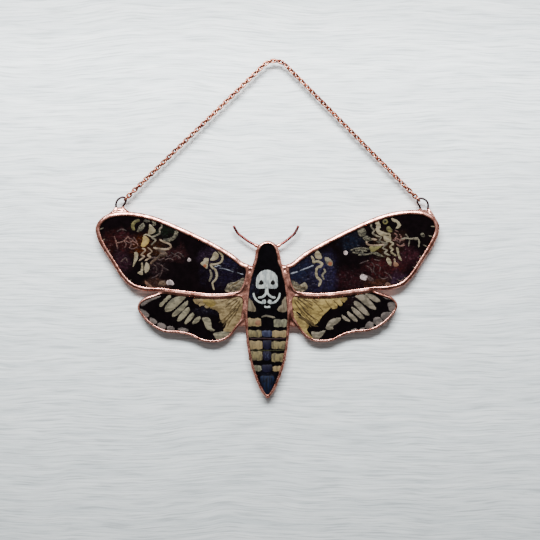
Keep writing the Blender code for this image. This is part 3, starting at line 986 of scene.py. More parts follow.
def patch_shape(outline, lift, inset):
    """A flat coat of paint inside an outline that wavers a little."""
    line = even(spline([spot(p) for p in outline], closed=True), PAINT_STEP, closed=True)
    line = anticlockwise(line)
    waver = []
    for x, z in line:
        wide = noise.noise(Vector((x, WAVER_COAT * lift, z)) * WAVER_WIDE)
        fine = noise.noise(Vector((x, NOISE_DEPTH, z)) * WAVER_FINE)
        waver.append(wide + WAVER_FINE_SHARE * fine)
    line = line + outward(line) * (np.array(waver)[:, None] * WAVER - inset)
    count = len(line)
    top = -GLASS_FACE - coat_height(lift)
    inner = line - outward(line) * COAT_EDGE
    vertices = [(x, -GLASS_FACE + COAT_FOOT, z) for x, z in line]
    vertices += [(x, top + COAT_ROUND, z) for x, z in line]
    vertices += [(x, top, z) for x, z in inner]
    faces = [tuple(range(3 * count - 1, 2 * count - 1, -1)), tuple(range(count))]
    for i in range(count):
        j = (i + 1) % count
        faces.append((i, j, count + j, count + i))
        faces.append((count + i, count + j, 2 * count + j, 2 * count + i))
    return vertices, faces


def stroke_shape(points, width, lift, taper):
    """A domed brush line of uneven width."""
    line = even(spline([spot(p) for p in points], per=5), PAINT_STEP)
    share = np.linspace(0, 1, len(line))
    uneven = [noise.noise(Vector((x, NOISE_DEPTH, z)) * STROKE_SCALE) for x, z in line]
    ends = np.minimum(np.minimum(share, 1 - share) * len(line) * STROKE_GROWTH, 1.0)
    radii = width * PIXEL / 2 * (taper + (1 - taper) * ends) * (1 + STROKE_WAVER * np.array(uneven))
    vertices = []
    for (x, z), (nx, nz), r in zip(line, to_the_right(unit(np.gradient(line, axis=0))), radii):
        for out, high in BRUSH_SECTION:
            vertices.append((x + nx * r * out, -GLASS_FACE - coat_height(lift) * high, z + nz * r * out))
    sides = len(BRUSH_SECTION)
    return vertices, grid_faces(len(line), sides, closed=False) + end_caps(len(vertices), sides)


def patch(colour, *outlines, lift=1, inset=0.0):
    """Filled marks of one colour; lift is the coat they are in, inset draws their edges in."""
    return colour, [patch_shape(outline, lift, inset) for outline in outlines]


def stroke(colour, width, *lines, lift=1, taper=0.35):
    """Brush lines of one colour and width; taper is the share of the width left at their ends."""
    return colour, [stroke_shape(line, width, lift, taper) for line in lines]


def dot(colour, radius, *centres, lift=1):
    """Round spots of one colour."""
    turns = np.linspace(0, 2 * math.pi, DOT_CORNERS, endpoint=False)
    rounds = [[(x + radius * math.cos(a), y + radius * math.sin(a)) for a in turns] for x, y in centres]
    return patch(colour, *rounds, lift=lift)


# Hairs of a fan are uneven: every other one bends to the other side, and their ends are staggered.
HAIR_BEND = (-0.6, 0.8)
HAIR_START = 1.4
HAIR_END = 2.6


def fan(centre, turns, near, far, width):
    """Thin dark hairs spreading from a joint; turns are degrees clockwise from +X in the picture."""
    hairs = []
    for k, turn in enumerate(turns):
        way = np.array([math.cos(math.radians(turn)), math.sin(math.radians(turn))])
        bend = np.array([-way[1], way[0]]) * HAIR_BEND[k % 2]
        start, end = near + HAIR_START * (k % 3), far - HAIR_END * (2 * k % 3)
        hairs.append([centre + way * start, centre + way * (start + end) / 2 + bend, centre + way * end])
    return stroke("sepia", width, *hairs, lift=2)


# How far the wedges between the hindwings' veins are drawn in.
LEADED_INSET = 0.14 * MM

LEFT_FOREWING_MARKS = [
    # Broken pale patches behind the leading edge, and the bent line beside them.
    patch("olive", [
        (139, 219.3), (134, 221), (131.3, 225), (132.5, 229.5), (135.3, 230.5), (134.8, 226),
        (136.2, 223.3), (140, 221.3),
    ]),
    patch(
        "dry",
        [
            (139.5, 226), (143.5, 223), (145.2, 226), (143.5, 229.5), (141, 231.5), (137, 231.8),
            (138.3, 229),
        ],
        [(144, 221), (147, 219.3), (150.5, 221.3), (147.5, 222.7)],
        [(152, 220.5), (155.7, 221.8), (156, 225.2), (153, 225.5), (153, 223)],
    ),
    patch("cream", [
        (149.8, 224.3), (153, 226.5), (155.9, 231), (153, 233.8), (148.3, 234), (149.2, 229),
    ]),
    stroke("grey", 1.7, [
        (161, 222), (162.3, 226.5), (159.8, 229.5), (160, 233.5), (155.5, 236), (152, 237.7),
        (155.8, 240.2), (151.3, 245.4),
    ]),
    stroke("cream", 1.5, [(143.5, 236), (147, 234.6), (152, 237)]),
    patch("warm", [
        (143.3, 237), (146.5, 236.6), (149.5, 239.4), (148.7, 243), (145.3, 246.6), (141.2, 246.3),
        (142.6, 241.5),
    ]),
    # The hooked band across the middle of the wing.
    stroke("dry", 3.6, [(177, 230.5), (175.5, 236), (171, 239.5), (162.5, 240.8)]),
    stroke("pale", 2.0, [
        (159.5, 239.5), (164.5, 242), (169.8, 244.3), (171, 247.3), (167, 249.3), (160, 248.9),
        (153.5, 247.8),
    ]),
    patch("umber", [(156.5, 249), (162, 249.8), (168, 254), (163.5, 256.5), (158.5, 256), (160, 253)]),
    stroke("umber", 2.4, [(160, 256.5), (155, 259.5), (150.5, 264)]),
    # Two zigzags, and the pale patches below them.
    stroke(
        "pale", 1.6,
        [(142.2, 248.3), (145.8, 250.2), (141.4, 255), (144.4, 256.5), (139.2, 260.9)],
        [(147.6, 247.3), (152, 251.5), (147.9, 255.4), (150.9, 257.1), (145.2, 260.9)],
    ),
    patch("cream", [
        (134.8, 252.6), (137.8, 252.4), (138.3, 257.5), (136.3, 262), (133.3, 267), (133.8, 262),
        (134.6, 257),
    ]),
    stroke("cream", 2.2, [(142, 262.5), (142.6, 267), (142, 272)]),
    patch(
        "cream",
        [(137.8, 273), (141.5, 270.8), (143.3, 272.8), (142.6, 274.9), (139.5, 274.2)],
        [(147, 262.3), (150, 266), (149.2, 270.2), (145.8, 273), (144.6, 269.5), (145.3, 265)],
    ),
    # Rose hairs, brighter towards the tip.
    stroke(
        "rose", 1.2,
        [(114.3, 236), (116, 240), (117, 244.5), (118, 249.5)],
        [(116, 243), (120.5, 242.5), (125, 240.5), (128.5, 236.3)],
        [(124, 241), (126.5, 244), (124.8, 248.3)],
        [(126, 241), (130, 243), (133, 241), (137, 243.5)],
        [(129, 247.5), (133, 249), (138, 247)],
        [(130, 240), (131.5, 244), (130, 248)],
        [(133.5, 237), (136.5, 241), (138.5, 246)],
        [(127.5, 236), (130, 238.5), (134, 239.5)],
        [(132, 244), (135.5, 245)],
    ),
    stroke(
        "rose_dim", 1.3,
        [(171, 252.5), (175, 254.5), (179, 252.8), (184.5, 257.5)],
        [(173, 257.5), (177, 255.8), (181, 258.5)],
        [(165, 260), (170, 258.6), (174, 260.5)],
        [(164, 254.5), (168, 256.5), (172, 255)],
        [(153, 263.5), (157, 268), (156, 273)],
        [(158, 263.5), (163, 266.5), (162, 272), (159.5, 278)],
        [(164, 268), (169, 270.5)],
        [(150.5, 258.5), (155, 257.5), (160, 260), (165, 258)],
        [(151, 278.5), (156, 276.5), (160, 273)],
        [(117, 232), (122, 229.5), (127, 231)],
        [(121, 262), (126, 258), (128, 263)],
    ),
    # White and copper at the hind edge, and the white spot of the wing's middle.
    patch("white", [
        (166.8, 281.5), (170, 279.6), (173.2, 281.5), (174, 285), (170, 285), (167.5, 284.8),
    ]),
    patch("umber", [(160, 281.5), (165.3, 280.8), (166, 285), (159, 286)]),
    patch("copper", [(145, 280.5), (149, 283.3), (153.5, 288), (147, 286)]),
    dot("white", 1.9, (189.3, 260.0)),
    # The twin curls near the body, with their orange drop.
    patch("cream", [
        (215.8, 251.8), (218.6, 254.2), (218.2, 258), (214.5, 260.8), (210.3, 260), (212.3, 256.8),
        (213, 253.6),
    ]),
    stroke("cream", 2.1, [
        (218.5, 251.3), (222, 255.3), (222.6, 259), (220.5, 262.5), (215.5, 264.3), (211, 264.6),
        (212.3, 267.3), (215.5, 270), (217, 274.5), (216, 279), (212.5, 282.7),
    ]),
    stroke("cream", 1.7, [(212.3, 282), (213, 286), (214.3, 290)]),
    stroke("grey", 2.2, [(209.8, 269.5), (211.5, 274), (211, 277.5), (209.3, 281.5)]),
    patch("cream", [
        (204.3, 258.4), (208.6, 258.3), (208.2, 264), (207.2, 269), (204.5, 266.8), (200.5, 263.5),
        (203.3, 261.3),
    ]),
    dot("orange", 1.7, (205.2, 265.8), lift=2),
    # Cold streaks towards the body, and the pale tuft at the root.
    stroke(
        "chill", 1.0,
        [(217, 265), (221.5, 266.3)],
        [(219, 268), (226, 269.3), (234, 272)],
        [(237, 272.5), (243.5, 274.6)],
        [(214, 267), (218.5, 266)],
    ),
    patch("khaki", [
        (226, 291.5), (226.5, 286.5), (229, 283), (235, 281.6), (239.5, 279.6), (244.5, 278.3),
        (244.6, 292),
    ]),
    stroke(
        "sepia", 1.0,
        [(228, 289), (232, 285), (238, 283)],
        [(230, 290.5), (236, 286), (242, 284)],
        [(236, 290.5), (241, 287)],
        [(233, 284), (240, 281)],
        lift=2,
    ),
    # Short ticks along the outer edge.
    stroke(
        "grey", 1.2,
        [(100, 229.5), (104, 228)],
        [(102.5, 241.2), (105.3, 239)],
        [(107.5, 251.5), (110.8, 250)],
        [(112.5, 261.6), (115.8, 260.4)],
        [(119.3, 272.6), (122, 270.8)],
        [(129, 282), (131.5, 279.7)],
    ),
]

RIGHT_FOREWING_MARKS = [
    # Broken pale patches behind the leading edge, and the ring beside them.
    patch("cream", [
        (391, 218.3), (395.5, 219.6), (399, 222), (400.6, 225.7), (398, 228.3), (395.2, 228.4),
        (397, 225.5), (396.3, 223), (392.3, 221.4),
    ]),
    dot("olive", 2.7, (385, 221.8)),
    dot("ink", 1.2, (385, 221.8), lift=2),
    patch("olive", [(386, 228.5), (388.5, 226.4), (392, 230), (391, 232.6), (387.5, 231.5)]),
    stroke("cream", 4.2, [
        (376, 221.5), (378.3, 225.5), (377.3, 230), (380.5, 233.3), (386.5, 235), (390.5, 235.5),
    ], taper=0.5),
    patch("cream", [(384, 235), (390, 236), (390.8, 241), (386.8, 242.3), (383.5, 239.5)]),
    # A pale zigzag, and the long bent line inside it.
    stroke("cream", 1.8, [
        (389.5, 241.5), (393, 243.8), (389.7, 247), (392.6, 249.5), (390.7, 252), (396, 256),
    ]),
    stroke("grey", 1.7, [
        (371.5, 223.5), (371, 227), (374, 230.8), (372.3, 233.3), (376.5, 236), (381, 237.5),
        (379.3, 240.5), (383, 242.5), (387, 243.6), (384, 246), (383, 248.5), (387, 250.5), (384.5, 253),
        (390, 255.7),
    ]),
    # Dry patches and the hooked band across the middle of the wing.
    patch(
        "dry",
        [(357.5, 230), (363, 228), (366, 232), (364, 237), (359, 235.5)],
        [(362, 237), (367, 236), (372, 240), (366, 241.3)],
    ),
    stroke("pale", 2.0, [
        (377, 240), (371, 239.3), (366.5, 241.8), (368, 244.8), (376, 245.8), (384, 244.5),
    ]),
    patch("olive", [(369, 247), (377, 245.8), (381.5, 246.3), (376, 250.5), (372, 252.3)]),
    stroke(
        "dry", 1.7,
        [(350, 250.6), (356, 248.6), (362, 248.2), (370, 249.5)],
        [(352, 252.3), (358, 253.2), (364, 252.4)],
        [(358, 255.2), (367, 254.3), (374, 253)],
        [(355, 250.7), (361, 250.4), (367, 251.3)],
        [(376, 241.5), (380, 243)],
    ),
    patch("dry", [(370, 252), (377, 252.6), (384.5, 257), (378, 256)]),
    # Pale patches of the outer band.
    patch(
        "cream",
        [(395.8, 247.8), (398.4, 248.6), (399, 254), (401.6, 260.5), (398.5, 258.8), (396.6, 253)],
        [(387.5, 257.5), (391, 261), (390.6, 266), (387.6, 263.6), (386, 260)],
    ),
    stroke("pale", 2.0, [(394, 258.3), (395, 262.5)]),
    patch("blush", [(393.6, 262), (398, 263.8), (397.2, 266.4), (393.4, 266)]),
    # Rose hairs, and the grey lines towards the tip.
    stroke(
        "rose", 1.3,
        [(394, 233), (397, 236), (394.8, 239), (398, 242)],
        [(399, 234), (401, 238), (399, 243.5)],
        [(396, 238.5), (401, 240.5), (405, 239)],
        [(396, 244), (400, 246), (404, 243.5)],
        [(394.5, 230), (398, 232)],
        [(392, 240), (396, 241)],
        [(400, 246.5), (405, 245)],
    ),
    stroke("grey", 1.7, [
        (400, 240), (405, 238.3), (411, 239), (417, 238.3), (418.8, 242), (418.3, 247.5),
    ]),
    stroke(
        "grey", 1.3,
        [(405, 234), (408, 237.5)],
        [(409.3, 240), (408.2, 246.5)],
    ),
    stroke("grey", 2.0, [(412, 238.5), (417.5, 239.5)]),
    patch("dry", [(420, 234), (423, 233), (424.5, 236), (422, 237.3)]),
    # White at the hind edge, with rose smears, and copper below.
    patch("white", [
        (359.8, 276.8), (361.5, 274), (365, 274.8), (368.5, 277.3), (366.3, 278.4), (365.5, 280.2),
        (361, 279.4),
    ]),
    patch("rose_dim", [(367.5, 275.5), (371.5, 277.5), (374, 280.5), (370, 281.2), (367.6, 279.5)]),
    stroke(
        "rose_dim", 1.2,
        [(371, 262), (374, 266), (373, 271), (376, 275)],
        [(366, 266), (370, 268), (372, 273)],
        [(375, 264), (380, 267), (379, 272)],
        [(374, 259.5), (380, 261)],
        [(359, 264), (364, 262), (369, 260.5)],
        [(378, 276), (383, 279), (388, 277)],
        [(384, 272), (389, 275), (392, 280)],
        [(396, 279), (400, 281), (404, 278.5)],
    ),
    patch("copper", [(384, 286.5), (387, 282), (391, 284.5), (394, 287)]),
    # The twin curls near the body, with their orange drop.
    patch("cream", [
        (314.8, 253.3), (317.6, 250.6), (321, 254.5), (321.6, 258.5), (318, 259.3), (315.2, 257),
    ]),
    stroke("cream", 2.5, [
        (311, 256), (313.2, 259.3), (313.5, 262), (318, 261.5), (322, 264), (320, 266.6), (317.3, 267.5),
        (316, 272), (317, 277), (320.5, 281), (318.5, 286.5),
    ]),
    stroke("grey", 1.9, [(323.5, 268.5), (325, 271.5), (322.2, 275), (324, 279.7)]),
    patch("grey", [(324.6, 257.3), (329, 258), (332.5, 262), (331.6, 266), (327.5, 265), (325.3, 261.5)]),
    dot("orange", 2.0, (330, 263.6), lift=2),
    # Cold streaks towards the body, and the pale tuft at the root.
    stroke("chill", 1.5, [(290.5, 273.7), (298, 271.6)]),
    stroke("chill", 1.3, [(299.5, 270.8), (307, 268), (313.5, 265.3)]),
    patch("khaki", [
        (290.5, 280.8), (296, 282), (300, 284.5), (305, 282.2), (307.5, 288), (303, 291.5), (297, 292.3),
        (290.5, 291),
    ]),
    stroke(
        "sepia", 1.0,
        [(292, 284), (297, 287), (302, 286)],
        [(293, 288), (298, 290)],
        [(300, 288), (306, 287)],
        lift=2,
    ),
    # The white spot of the wing's middle, and short ticks along the outer edge.
    dot("white", 2.2, (345.4, 252.8)),
    stroke(
        "grey", 1.1,
        [(430.5, 226.4), (434.5, 226.8)],
        [(428, 235.8), (432.5, 236.8)],
        [(422.5, 244.8), (426.5, 246.6)],
        [(419, 255.8), (423, 257.2)],
        [(416, 262), (419.8, 263.8)],
        [(412.3, 266.6), (415.8, 268.6)],
        [(404, 277.2), (407.3, 280.2)],
    ),
]

LEFT_HINDWING_MARKS = [
    # Pale wedges between the veins, and the scallops along the outer edge.
    stroke("silver", 3.4, [(171, 295.5), (166, 300), (160, 306.3)], taper=0.25),
    patch(
        "silver",
        [(175, 297), (186, 296.5), (180.5, 303.5), (172, 310.8), (165.2, 311.3), (166.2, 305)],
        [(187, 300.5), (188, 304.5), (182, 311.5), (175, 316.8), (172, 316), (174.5, 311)],
        [(188, 307), (190.3, 310), (187, 315.3), (181, 320.8), (177, 320.6), (181, 313)],
        [(192.5, 312.5), (194.8, 315), (191, 320.5), (186, 324.3), (184.5, 322), (188, 316.5)],
        [(199.5, 316), (201.3, 318), (198, 322.5), (193, 324.3), (192.3, 322), (195.5, 318)],
        [
            (202, 318), (209, 317.3), (211.6, 322), (212.5, 328), (216, 330), (211, 331.3), (206, 328),
            (204, 323),
        ],
        [(213.5, 333), (220, 331.5), (230, 331.5), (224.5, 338.5), (217, 339.2), (214.2, 336.3)],
        inset=LEADED_INSET,
    ),
    patch(
        "ash",
        [(140.5, 309), (145, 310.5), (149.3, 314), (148.3, 316.8), (144.5, 317)],
        [(150.5, 317.5), (155, 319), (157.5, 322), (155, 324), (150.5, 321.5)],
        [(158.5, 323), (163, 323), (166.5, 326.5), (163, 329.3), (158, 327)],
        [(167.5, 326.5), (172, 326), (175, 328.5), (173, 330.5), (168, 330)],
        [(178, 329), (183, 327.5), (189, 330), (184, 332.5)],
        [(141, 304), (147, 300), (158, 296.2), (161, 296.5), (150, 301.5), (143, 306)],
    ),
    # The tan field by the body, with dark hairs over it.
    patch("tan", [
        (193.5, 299), (195.5, 303.5), (198.5, 304.5), (200, 306.3), (203.5, 305.3), (206, 308),
        (210, 308), (213.5, 309.3), (216.5, 310.3), (219, 313), (219.7, 317.5), (221.3, 321),
        (223, 323.2), (226, 322.5), (225.5, 326), (223.5, 330.3), (226.5, 332), (231, 331.5),
        (236, 325.5), (240.5, 319), (242.3, 312), (242.3, 297), (230, 298.6), (215, 299.3), (203, 299),
    ]),
    fan((249, 290), (157, 152, 147, 143, 139, 135, 131, 127, 123, 118), 13, 30, 0.9),
    fan((246, 299), (139, 136, 133, 130, 127, 124), 13, 36, 1.0),
    stroke(
        "ink", 0.9,
        [(204, 306.5), (206.5, 302.5)],
        [(209.5, 308), (211, 304.5)],
        [(198, 304.5), (200, 302)],
        lift=2,
    ),
    patch("gold", [(203, 300), (213, 300), (216, 304), (211, 307), (206, 304.5)], lift=2),
]

RIGHT_HINDWING_MARKS = [
    # Pale wedges between the veins, and the scallops along the outer edge.
    patch(
        "silver_bright",
        [(364.5, 293.5), (372, 294.3), (378, 298), (380.3, 301.6), (375, 302), (368.5, 298)],
        [
            (354.5, 296), (364, 294.3), (370, 300), (375, 306), (376, 309.7), (371, 309), (364, 304.5),
            (358.5, 299.5),
        ],
        [
            (355, 300.5), (361, 303.5), (366, 309), (369.5, 314.3), (367, 315.7), (362, 313), (356, 307),
            (353.3, 303.5),
        ],
        [(351, 306.5), (355, 308), (361, 313), (364.5, 318.3), (361, 319), (355, 314.5), (351.5, 310)],
        [
            (347.5, 310.8), (351, 313), (356, 317.5), (357.5, 321.5), (354, 321.3), (349.5, 317.5),
            (346.8, 313.5),
        ],
        [(341.5, 314.5), (345, 316), (349.5, 319.5), (350, 321.8), (346, 321), (342, 318)],
        [
            (329.5, 320), (334.5, 318), (340.5, 317.3), (340.3, 320.5), (337, 323.7), (333.3, 326),
            (333.3, 329), (328.5, 330), (325.3, 328), (327, 323.5),
        ],
        [(311, 331.5), (318, 331.5), (325.5, 329.8), (323, 335), (318, 339.2), (313, 338.3)],
        inset=LEADED_INSET,
    ),
    patch(
        "ash",
        [(387.5, 303.5), (392, 302), (397, 305.5), (394, 312), (389, 310)],
        [(381.5, 313.5), (388, 311.8), (393, 314), (387, 322.5), (381.5, 319.5)],
        [(373.5, 318.5), (379, 317), (384, 321), (381, 327), (374, 327)],
        [(366.5, 323), (371, 321.5), (377, 326.5), (371.5, 331), (364.5, 329.5)],
        [(360, 328.5), (364, 327.5), (367, 329), (362.5, 331)],
        [(351, 330), (355, 328.3), (358.5, 330.5), (354, 332)],
        [(380.5, 294.5), (387.5, 297), (390, 299.5), (384.5, 298.3)],
    ),
    # The golden field by the body, with dark hairs over it.
    patch(
        "tan_gold",
        [
            (346.5, 297.5), (344.3, 302.3), (341.5, 301.3), (342.3, 305), (339.5, 306), (337, 304),
            (337.3, 307.5), (333, 309), (330.3, 308), (327, 311.5), (323, 315), (320, 319.5),
            (316.5, 323.5), (313, 324), (308, 321), (303, 317), (298, 312), (292, 309), (290.8, 296.5),
            (300, 298.3), (315, 299), (332, 298.6),
        ],
        [
            (291, 306), (297, 313), (306, 321), (309, 325), (307, 330.5), (312.5, 337.5), (308, 336.5),
            (302, 330.5), (297, 323.5), (293, 316),
        ],
    ),
    fan((285, 288), (22, 28, 33, 37, 41, 45, 49, 53, 57), 14, 36, 0.9),
    fan((288, 297), (47, 44, 41, 38, 50), 18, 40, 1.0),
    stroke(
        "sepia", 1.0,
        [(297, 315), (304, 318), (312, 325), (318, 326.3)],
        [(298, 316.8), (305, 321), (311, 327)],
        [(325, 300), (328, 304.5), (332, 308.5)],
        [(333, 300), (336, 303), (339.5, 306)],
        [(340, 299.5), (343, 302.5)],
        [(312, 300), (317, 304.5), (323, 311)],
        lift=2,
    ),
    stroke(
        "sepia", 2.4,
        [(298, 316.5), (304, 319.5), (310, 323.5)],
        [(300, 316.5), (307, 320), (314, 324)],
        lift=2,
    ),
]

# The skull on the thorax: its cranium, and the columns of its eyes.
CRANIUM_PX = [
    (267, 269.8), (261, 271.6), (257.2, 276), (256.3, 281), (257.1, 287.9), (266, 288.3), (276.7, 287.9),
    (277.6, 281), (276.9, 276), (273, 271.6),
]
EYES_PX = (261.1, 272.8)

# The abdomen's blocks, row by row, left and right: their left, top, right and bottom edges. Their
# outer ends are tucked under the solder, and their corners are soft.
BLOCKS_PX = [
    ("band_warm", (247.6, 318.2, 261, 326.1)),
    ("band_grey", (273.8, 319.3, 286, 326.8)),
    ("band_olive", (248.4, 330.2, 261.6, 336.8)),
    ("band_warm", (272.2, 330.6, 286, 337)),
    ("band_warm", (249.4, 340.8, 262.2, 348.9)),
    ("band_olive", (271.6, 341.3, 285.4, 348.6)),
    ("band_olive", (250.4, 351.1, 262.2, 360.2)),
    ("band_olive", (271.7, 353.4, 284, 361.5)),
    ("band_grey", (254, 365.3, 261.3, 370.8)),
    ("band_warm", (272.7, 366, 281, 371)),
]
BODY_MIDDLE_PX = 266
BLOCK_TUCK_PX = 1.6
BLOCK_CORNER_PX = 0.9

# The ticks on the tail: their columns and lower ends, and where they all start.
TAIL_TICKS_PX = ((263.6, 388), (266.2, 391), (269.4, 390.5), (271.4, 385))
TAIL_TICK_TOP_PX = 377.5


def eye_socket(x):
    return [(x - 2.1, 282.2), (x, 279.9), (x + 2.1, 281.6), (x + 2.2, 283.8), (x, 284.8), (x - 2.2, 284.2)]


def abdomen_block(left, top, right, bottom):
    """A soft-cornered block of the abdomen, with slightly bowed edges."""
    if right < BODY_MIDDLE_PX:
        left -= BLOCK_TUCK_PX
    else:
        right += BLOCK_TUCK_PX
    soft = BLOCK_CORNER_PX
    middle = (left + right) / 2
    upper = [
        (left, top + soft), (left + soft, top + 0.2), (left + 3.5, top - 0.5), (middle, top + 0.4),
        (right - 3.5, top - 0.4), (right - soft, top + 0.3), (right, top + soft),
    ]
    lower = [
        (right + 0.2, bottom - soft), (right - soft, bottom - 0.3), (right - 3.5, bottom + 0.4),
        (middle, bottom - 0.3), (left + 3.5, bottom + 0.4), (left + soft, bottom - 0.2),
        (left, bottom - soft),
    ]
    return upper + lower


def tail_tick(x, low):
    middle = (TAIL_TICK_TOP_PX - 0.5 + low) / 2
    return [(x, TAIL_TICK_TOP_PX), (x + 0.3, middle), (x - 0.1, low)]


BODY_MARKS = [
    # The skull, and the bones of its jaw.
    patch("bone", CRANIUM_PX),
    patch("ink", *[eye_socket(x) for x in EYES_PX], lift=2),
    stroke("bone", 3.4, [(266.7, 287), (266.7, 294)], taper=0.8),
    stroke(
        "bone", 2.2,
        [(266.5, 292.5), (264, 296), (261, 297.3), (258, 297.5)],
        [(267, 292.5), (269.5, 295.5), (272.5, 297.3), (275.7, 297.5)],
    ),
    stroke(
        "bone", 2.0,
        [(253.5, 293), (254.6, 297.5), (258, 301.3), (263.5, 303.2)],
        [(280, 292.8), (278.6, 298), (275, 302), (270, 303.3)],
        taper=0.7,
    ),
    dot("bone", 2.1, (264, 301.6), (269.8, 301.6), lift=2),
    stroke("bone", 1.5, [(264.5, 306), (267.2, 307.2), (270, 306)]),
    dot("bone", 1.0, (265.3, 306.8), (269.3, 306.8), lift=2),
    # Pale hair at the sides of the thorax, and the line at the waist.
    patch(
        "sage",
        [
            (247.8, 297.5), (252, 301), (253.6, 304), (255.8, 308.3), (255.3, 311.4), (251, 311.3),
            (247.6, 309.5),
        ],
        [
            (286.8, 297), (282.5, 300), (281.5, 304.5), (279, 306.5), (277.3, 309.5), (280.5, 311.8),
            (286.8, 310.5),
        ],
    ),
    stroke("grey", 1.9, [(261.3, 317), (267, 315.8), (275.3, 317.8)]),
    # The abdomen: its blocks, and the blue patches down its middle.
    *[patch(colour, abdomen_block(*edges)) for colour, edges in BLOCKS_PX],
    patch("steel", [
        (262, 331), (267, 330.3), (271.8, 331), (272, 334.6), (270, 336.6), (264, 336.4), (262, 334.8),
    ]),
    patch(
        "navy",
        [(262.8, 340.8), (267, 340.3), (271.3, 340.8), (271, 346), (268.5, 349.3), (265, 349), (263, 346)],
        [
            (262.8, 351.8), (267, 351.2), (270.9, 351.8), (270.8, 357.5), (268, 360.3), (264.5, 360),
            (263, 357),
        ],
        [(262, 365), (267, 364.5), (272, 365), (271.8, 370), (269, 371.9), (264.5, 371.7), (262, 370)],
    ),
    stroke(
        "steel", 0.8,
        [(265, 353), (266.2, 355.5), (265.4, 358)],
        [(268.6, 353.3), (267.6, 355.8), (268.8, 358.3)],
        lift=2,
    ),
    # The tail, with dark ticks.
    patch("tail_blue", [
        (260.5, 376.5), (267, 375.5), (274, 376.5), (272.8, 384), (270, 390), (267.3, 393.3),
        (264.3, 389.5), (261.8, 384),
    ]),
    stroke("ink", 0.8, *[tail_tick(x, low) for x, low in TAIL_TICKS_PX], lift=2),
    # Thin lines between the rows of blocks, and a warm spot on the first block.
    stroke("maroon", 1.3, [(250, 338.6), (262, 338.3), (272, 338.8), (285.5, 338.4)]),
    stroke("moss", 1.0, [(250.5, 349.8), (262, 350.2), (274, 350.4), (285, 349.9)]),
    patch("blush", [(255.5, 321), (260, 320), (260.3, 324.5), (256, 325)], lift=2),
]

# Each slot's paints: a colour, the second colour worked into it, and how dry the brush was.
PAINTS = {
    "wing_glass": {
        "cream": ((173, 164, 146), (144, 132, 109), 0.12),
        "warm": ((186, 164, 118), (162, 138, 94), 0.08),
        "grey": ((150, 142, 126), (102, 94, 82), 0.20),
        "pale": ((172, 156, 140), (136, 114, 98), 0.12),
        "dry": ((140, 134, 116), (82, 78, 66), 0.30),
        "olive": ((142, 132, 88), (98, 90, 56), 0.24),
        "khaki": ((160, 150, 132), (92, 82, 66), 0.28),
        "umber": ((122, 94, 78), (76, 54, 44), 0.26),
        "rose": ((146, 106, 100), (94, 62, 62), 0.26),
        "rose_dim": ((106, 78, 76), (60, 40, 44), 0.30),
        "blush": ((162, 122, 100), (142, 102, 86), 0.08),
        "copper": ((136, 94, 78), (100, 66, 56), 0.14),
        "white": ((200, 192, 192), (160, 150, 150), 0.1),
        "chill": ((156, 162, 170), (102, 108, 118), 0.20),
        "orange": ((166, 104, 78), (138, 82, 62), 0.08),
        "ink": ((3, 2, 3), (2, 2, 2), 0.0),
    },
    "hindwing_glass": {
        "silver": ((162, 155, 137), (118, 112, 95), 0.08),
        "silver_bright": ((160, 151, 138), (124, 116, 102), 0.05),
        "ash": ((138, 128, 124), (100, 91, 88), 0.16),
        "tan": ((168, 150, 120), (134, 112, 80), 0.06),
        "tan_gold": ((184, 165, 120), (150, 126, 82), 0.08),
        "gold": ((164, 140, 86), (134, 110, 64), 0.16),
        "sepia": ((108, 82, 48), (78, 56, 32), 0.12),
    },
    "body_glass": {
        "bone": ((196, 201, 199), (166, 174, 174), 0.04),
        "sage": ((148, 137, 119), (114, 100, 82), 0.14),
        "band_warm": ((170, 151, 120), (146, 128, 100), 0.14),
        "band_olive": ((154, 140, 107), (112, 100, 78), 0.20),
        "band_grey": ((152, 150, 130), (118, 114, 98), 0.14),
        "steel": ((78, 90, 118), (44, 52, 82), 0.14),
        "navy": ((27, 27, 54), (15, 16, 33), 0.14),
        "tail_blue": ((16, 36, 72), (8, 16, 34), 0.12),
        "maroon": ((52, 18, 26), (34, 12, 18), 0.1),
        "moss": ((58, 54, 22), (36, 34, 14), 0.1),
    },
}
PAINT_CREASE = math.radians(40)

# How fine the brush's streaks are along each axis: they run up and down on the body, and sideways
# on the wings.
BODY_BRUSH = (3.0, 1.0, 1.0)
WING_BRUSH = (1.0, 1.0, 2.2)

# The clouds of colour in the panes: a colour, a centre and a reach in pixels.
BODY_TINTS = [((26, 30, 54), (252, 288), (7, 16)), ((18, 24, 40), (268, 384), (12, 14))]
LEFT_TINTS = [
    ((68, 18, 21), (118, 242), (22, 14)),
    ((98, 27, 8), (141, 246), (12, 15)),
    ((68, 27, 15), (157, 250), (12, 12)),
    ((62, 26, 42), (122, 262), (13, 13)),
    ((62, 18, 26), (124, 234), (10, 6)),
    ((16, 30, 17), (167, 232), (13, 7)),
    ((72, 28, 34), (176, 254), (16, 9)),
    ((92, 52, 44), (156, 283), (16, 6)),
    ((48, 30, 56), (210, 256), (13, 12)),
    ((23, 20, 46), (222, 274), (24, 16)),
    ((32, 31, 68), (232, 262), (13, 8)),
    ((46, 24, 30), (158, 268), (14, 9)),
]
RIGHT_TINTS = [
    ((34, 36, 66), (308, 272), (28, 26)),
    ((44, 43, 84), (326, 272), (14, 24)),
    ((24, 37, 66), (298, 270), (14, 14)),
    ((54, 15, 23), (350, 280), (18, 14)),
    ((56, 23, 9), (384, 246), (16, 16)),
    ((84, 22, 29), (386, 268), (26, 12)),
    ((80, 28, 42), (408, 256), (14, 12)),
    ((60, 34, 60), (398, 279), (12, 8)),
    ((50, 24, 19), (398, 240), (10, 12)),
    ((18, 32, 52), (352, 240), (14, 14)),
    ((88, 40, 31), (376, 282), (16, 7)),
]
HINDWING_TINTS = [((20, 20, 34), (206, 311), (14, 6)), ((26, 12, 16), (352, 300), (12, 8))]

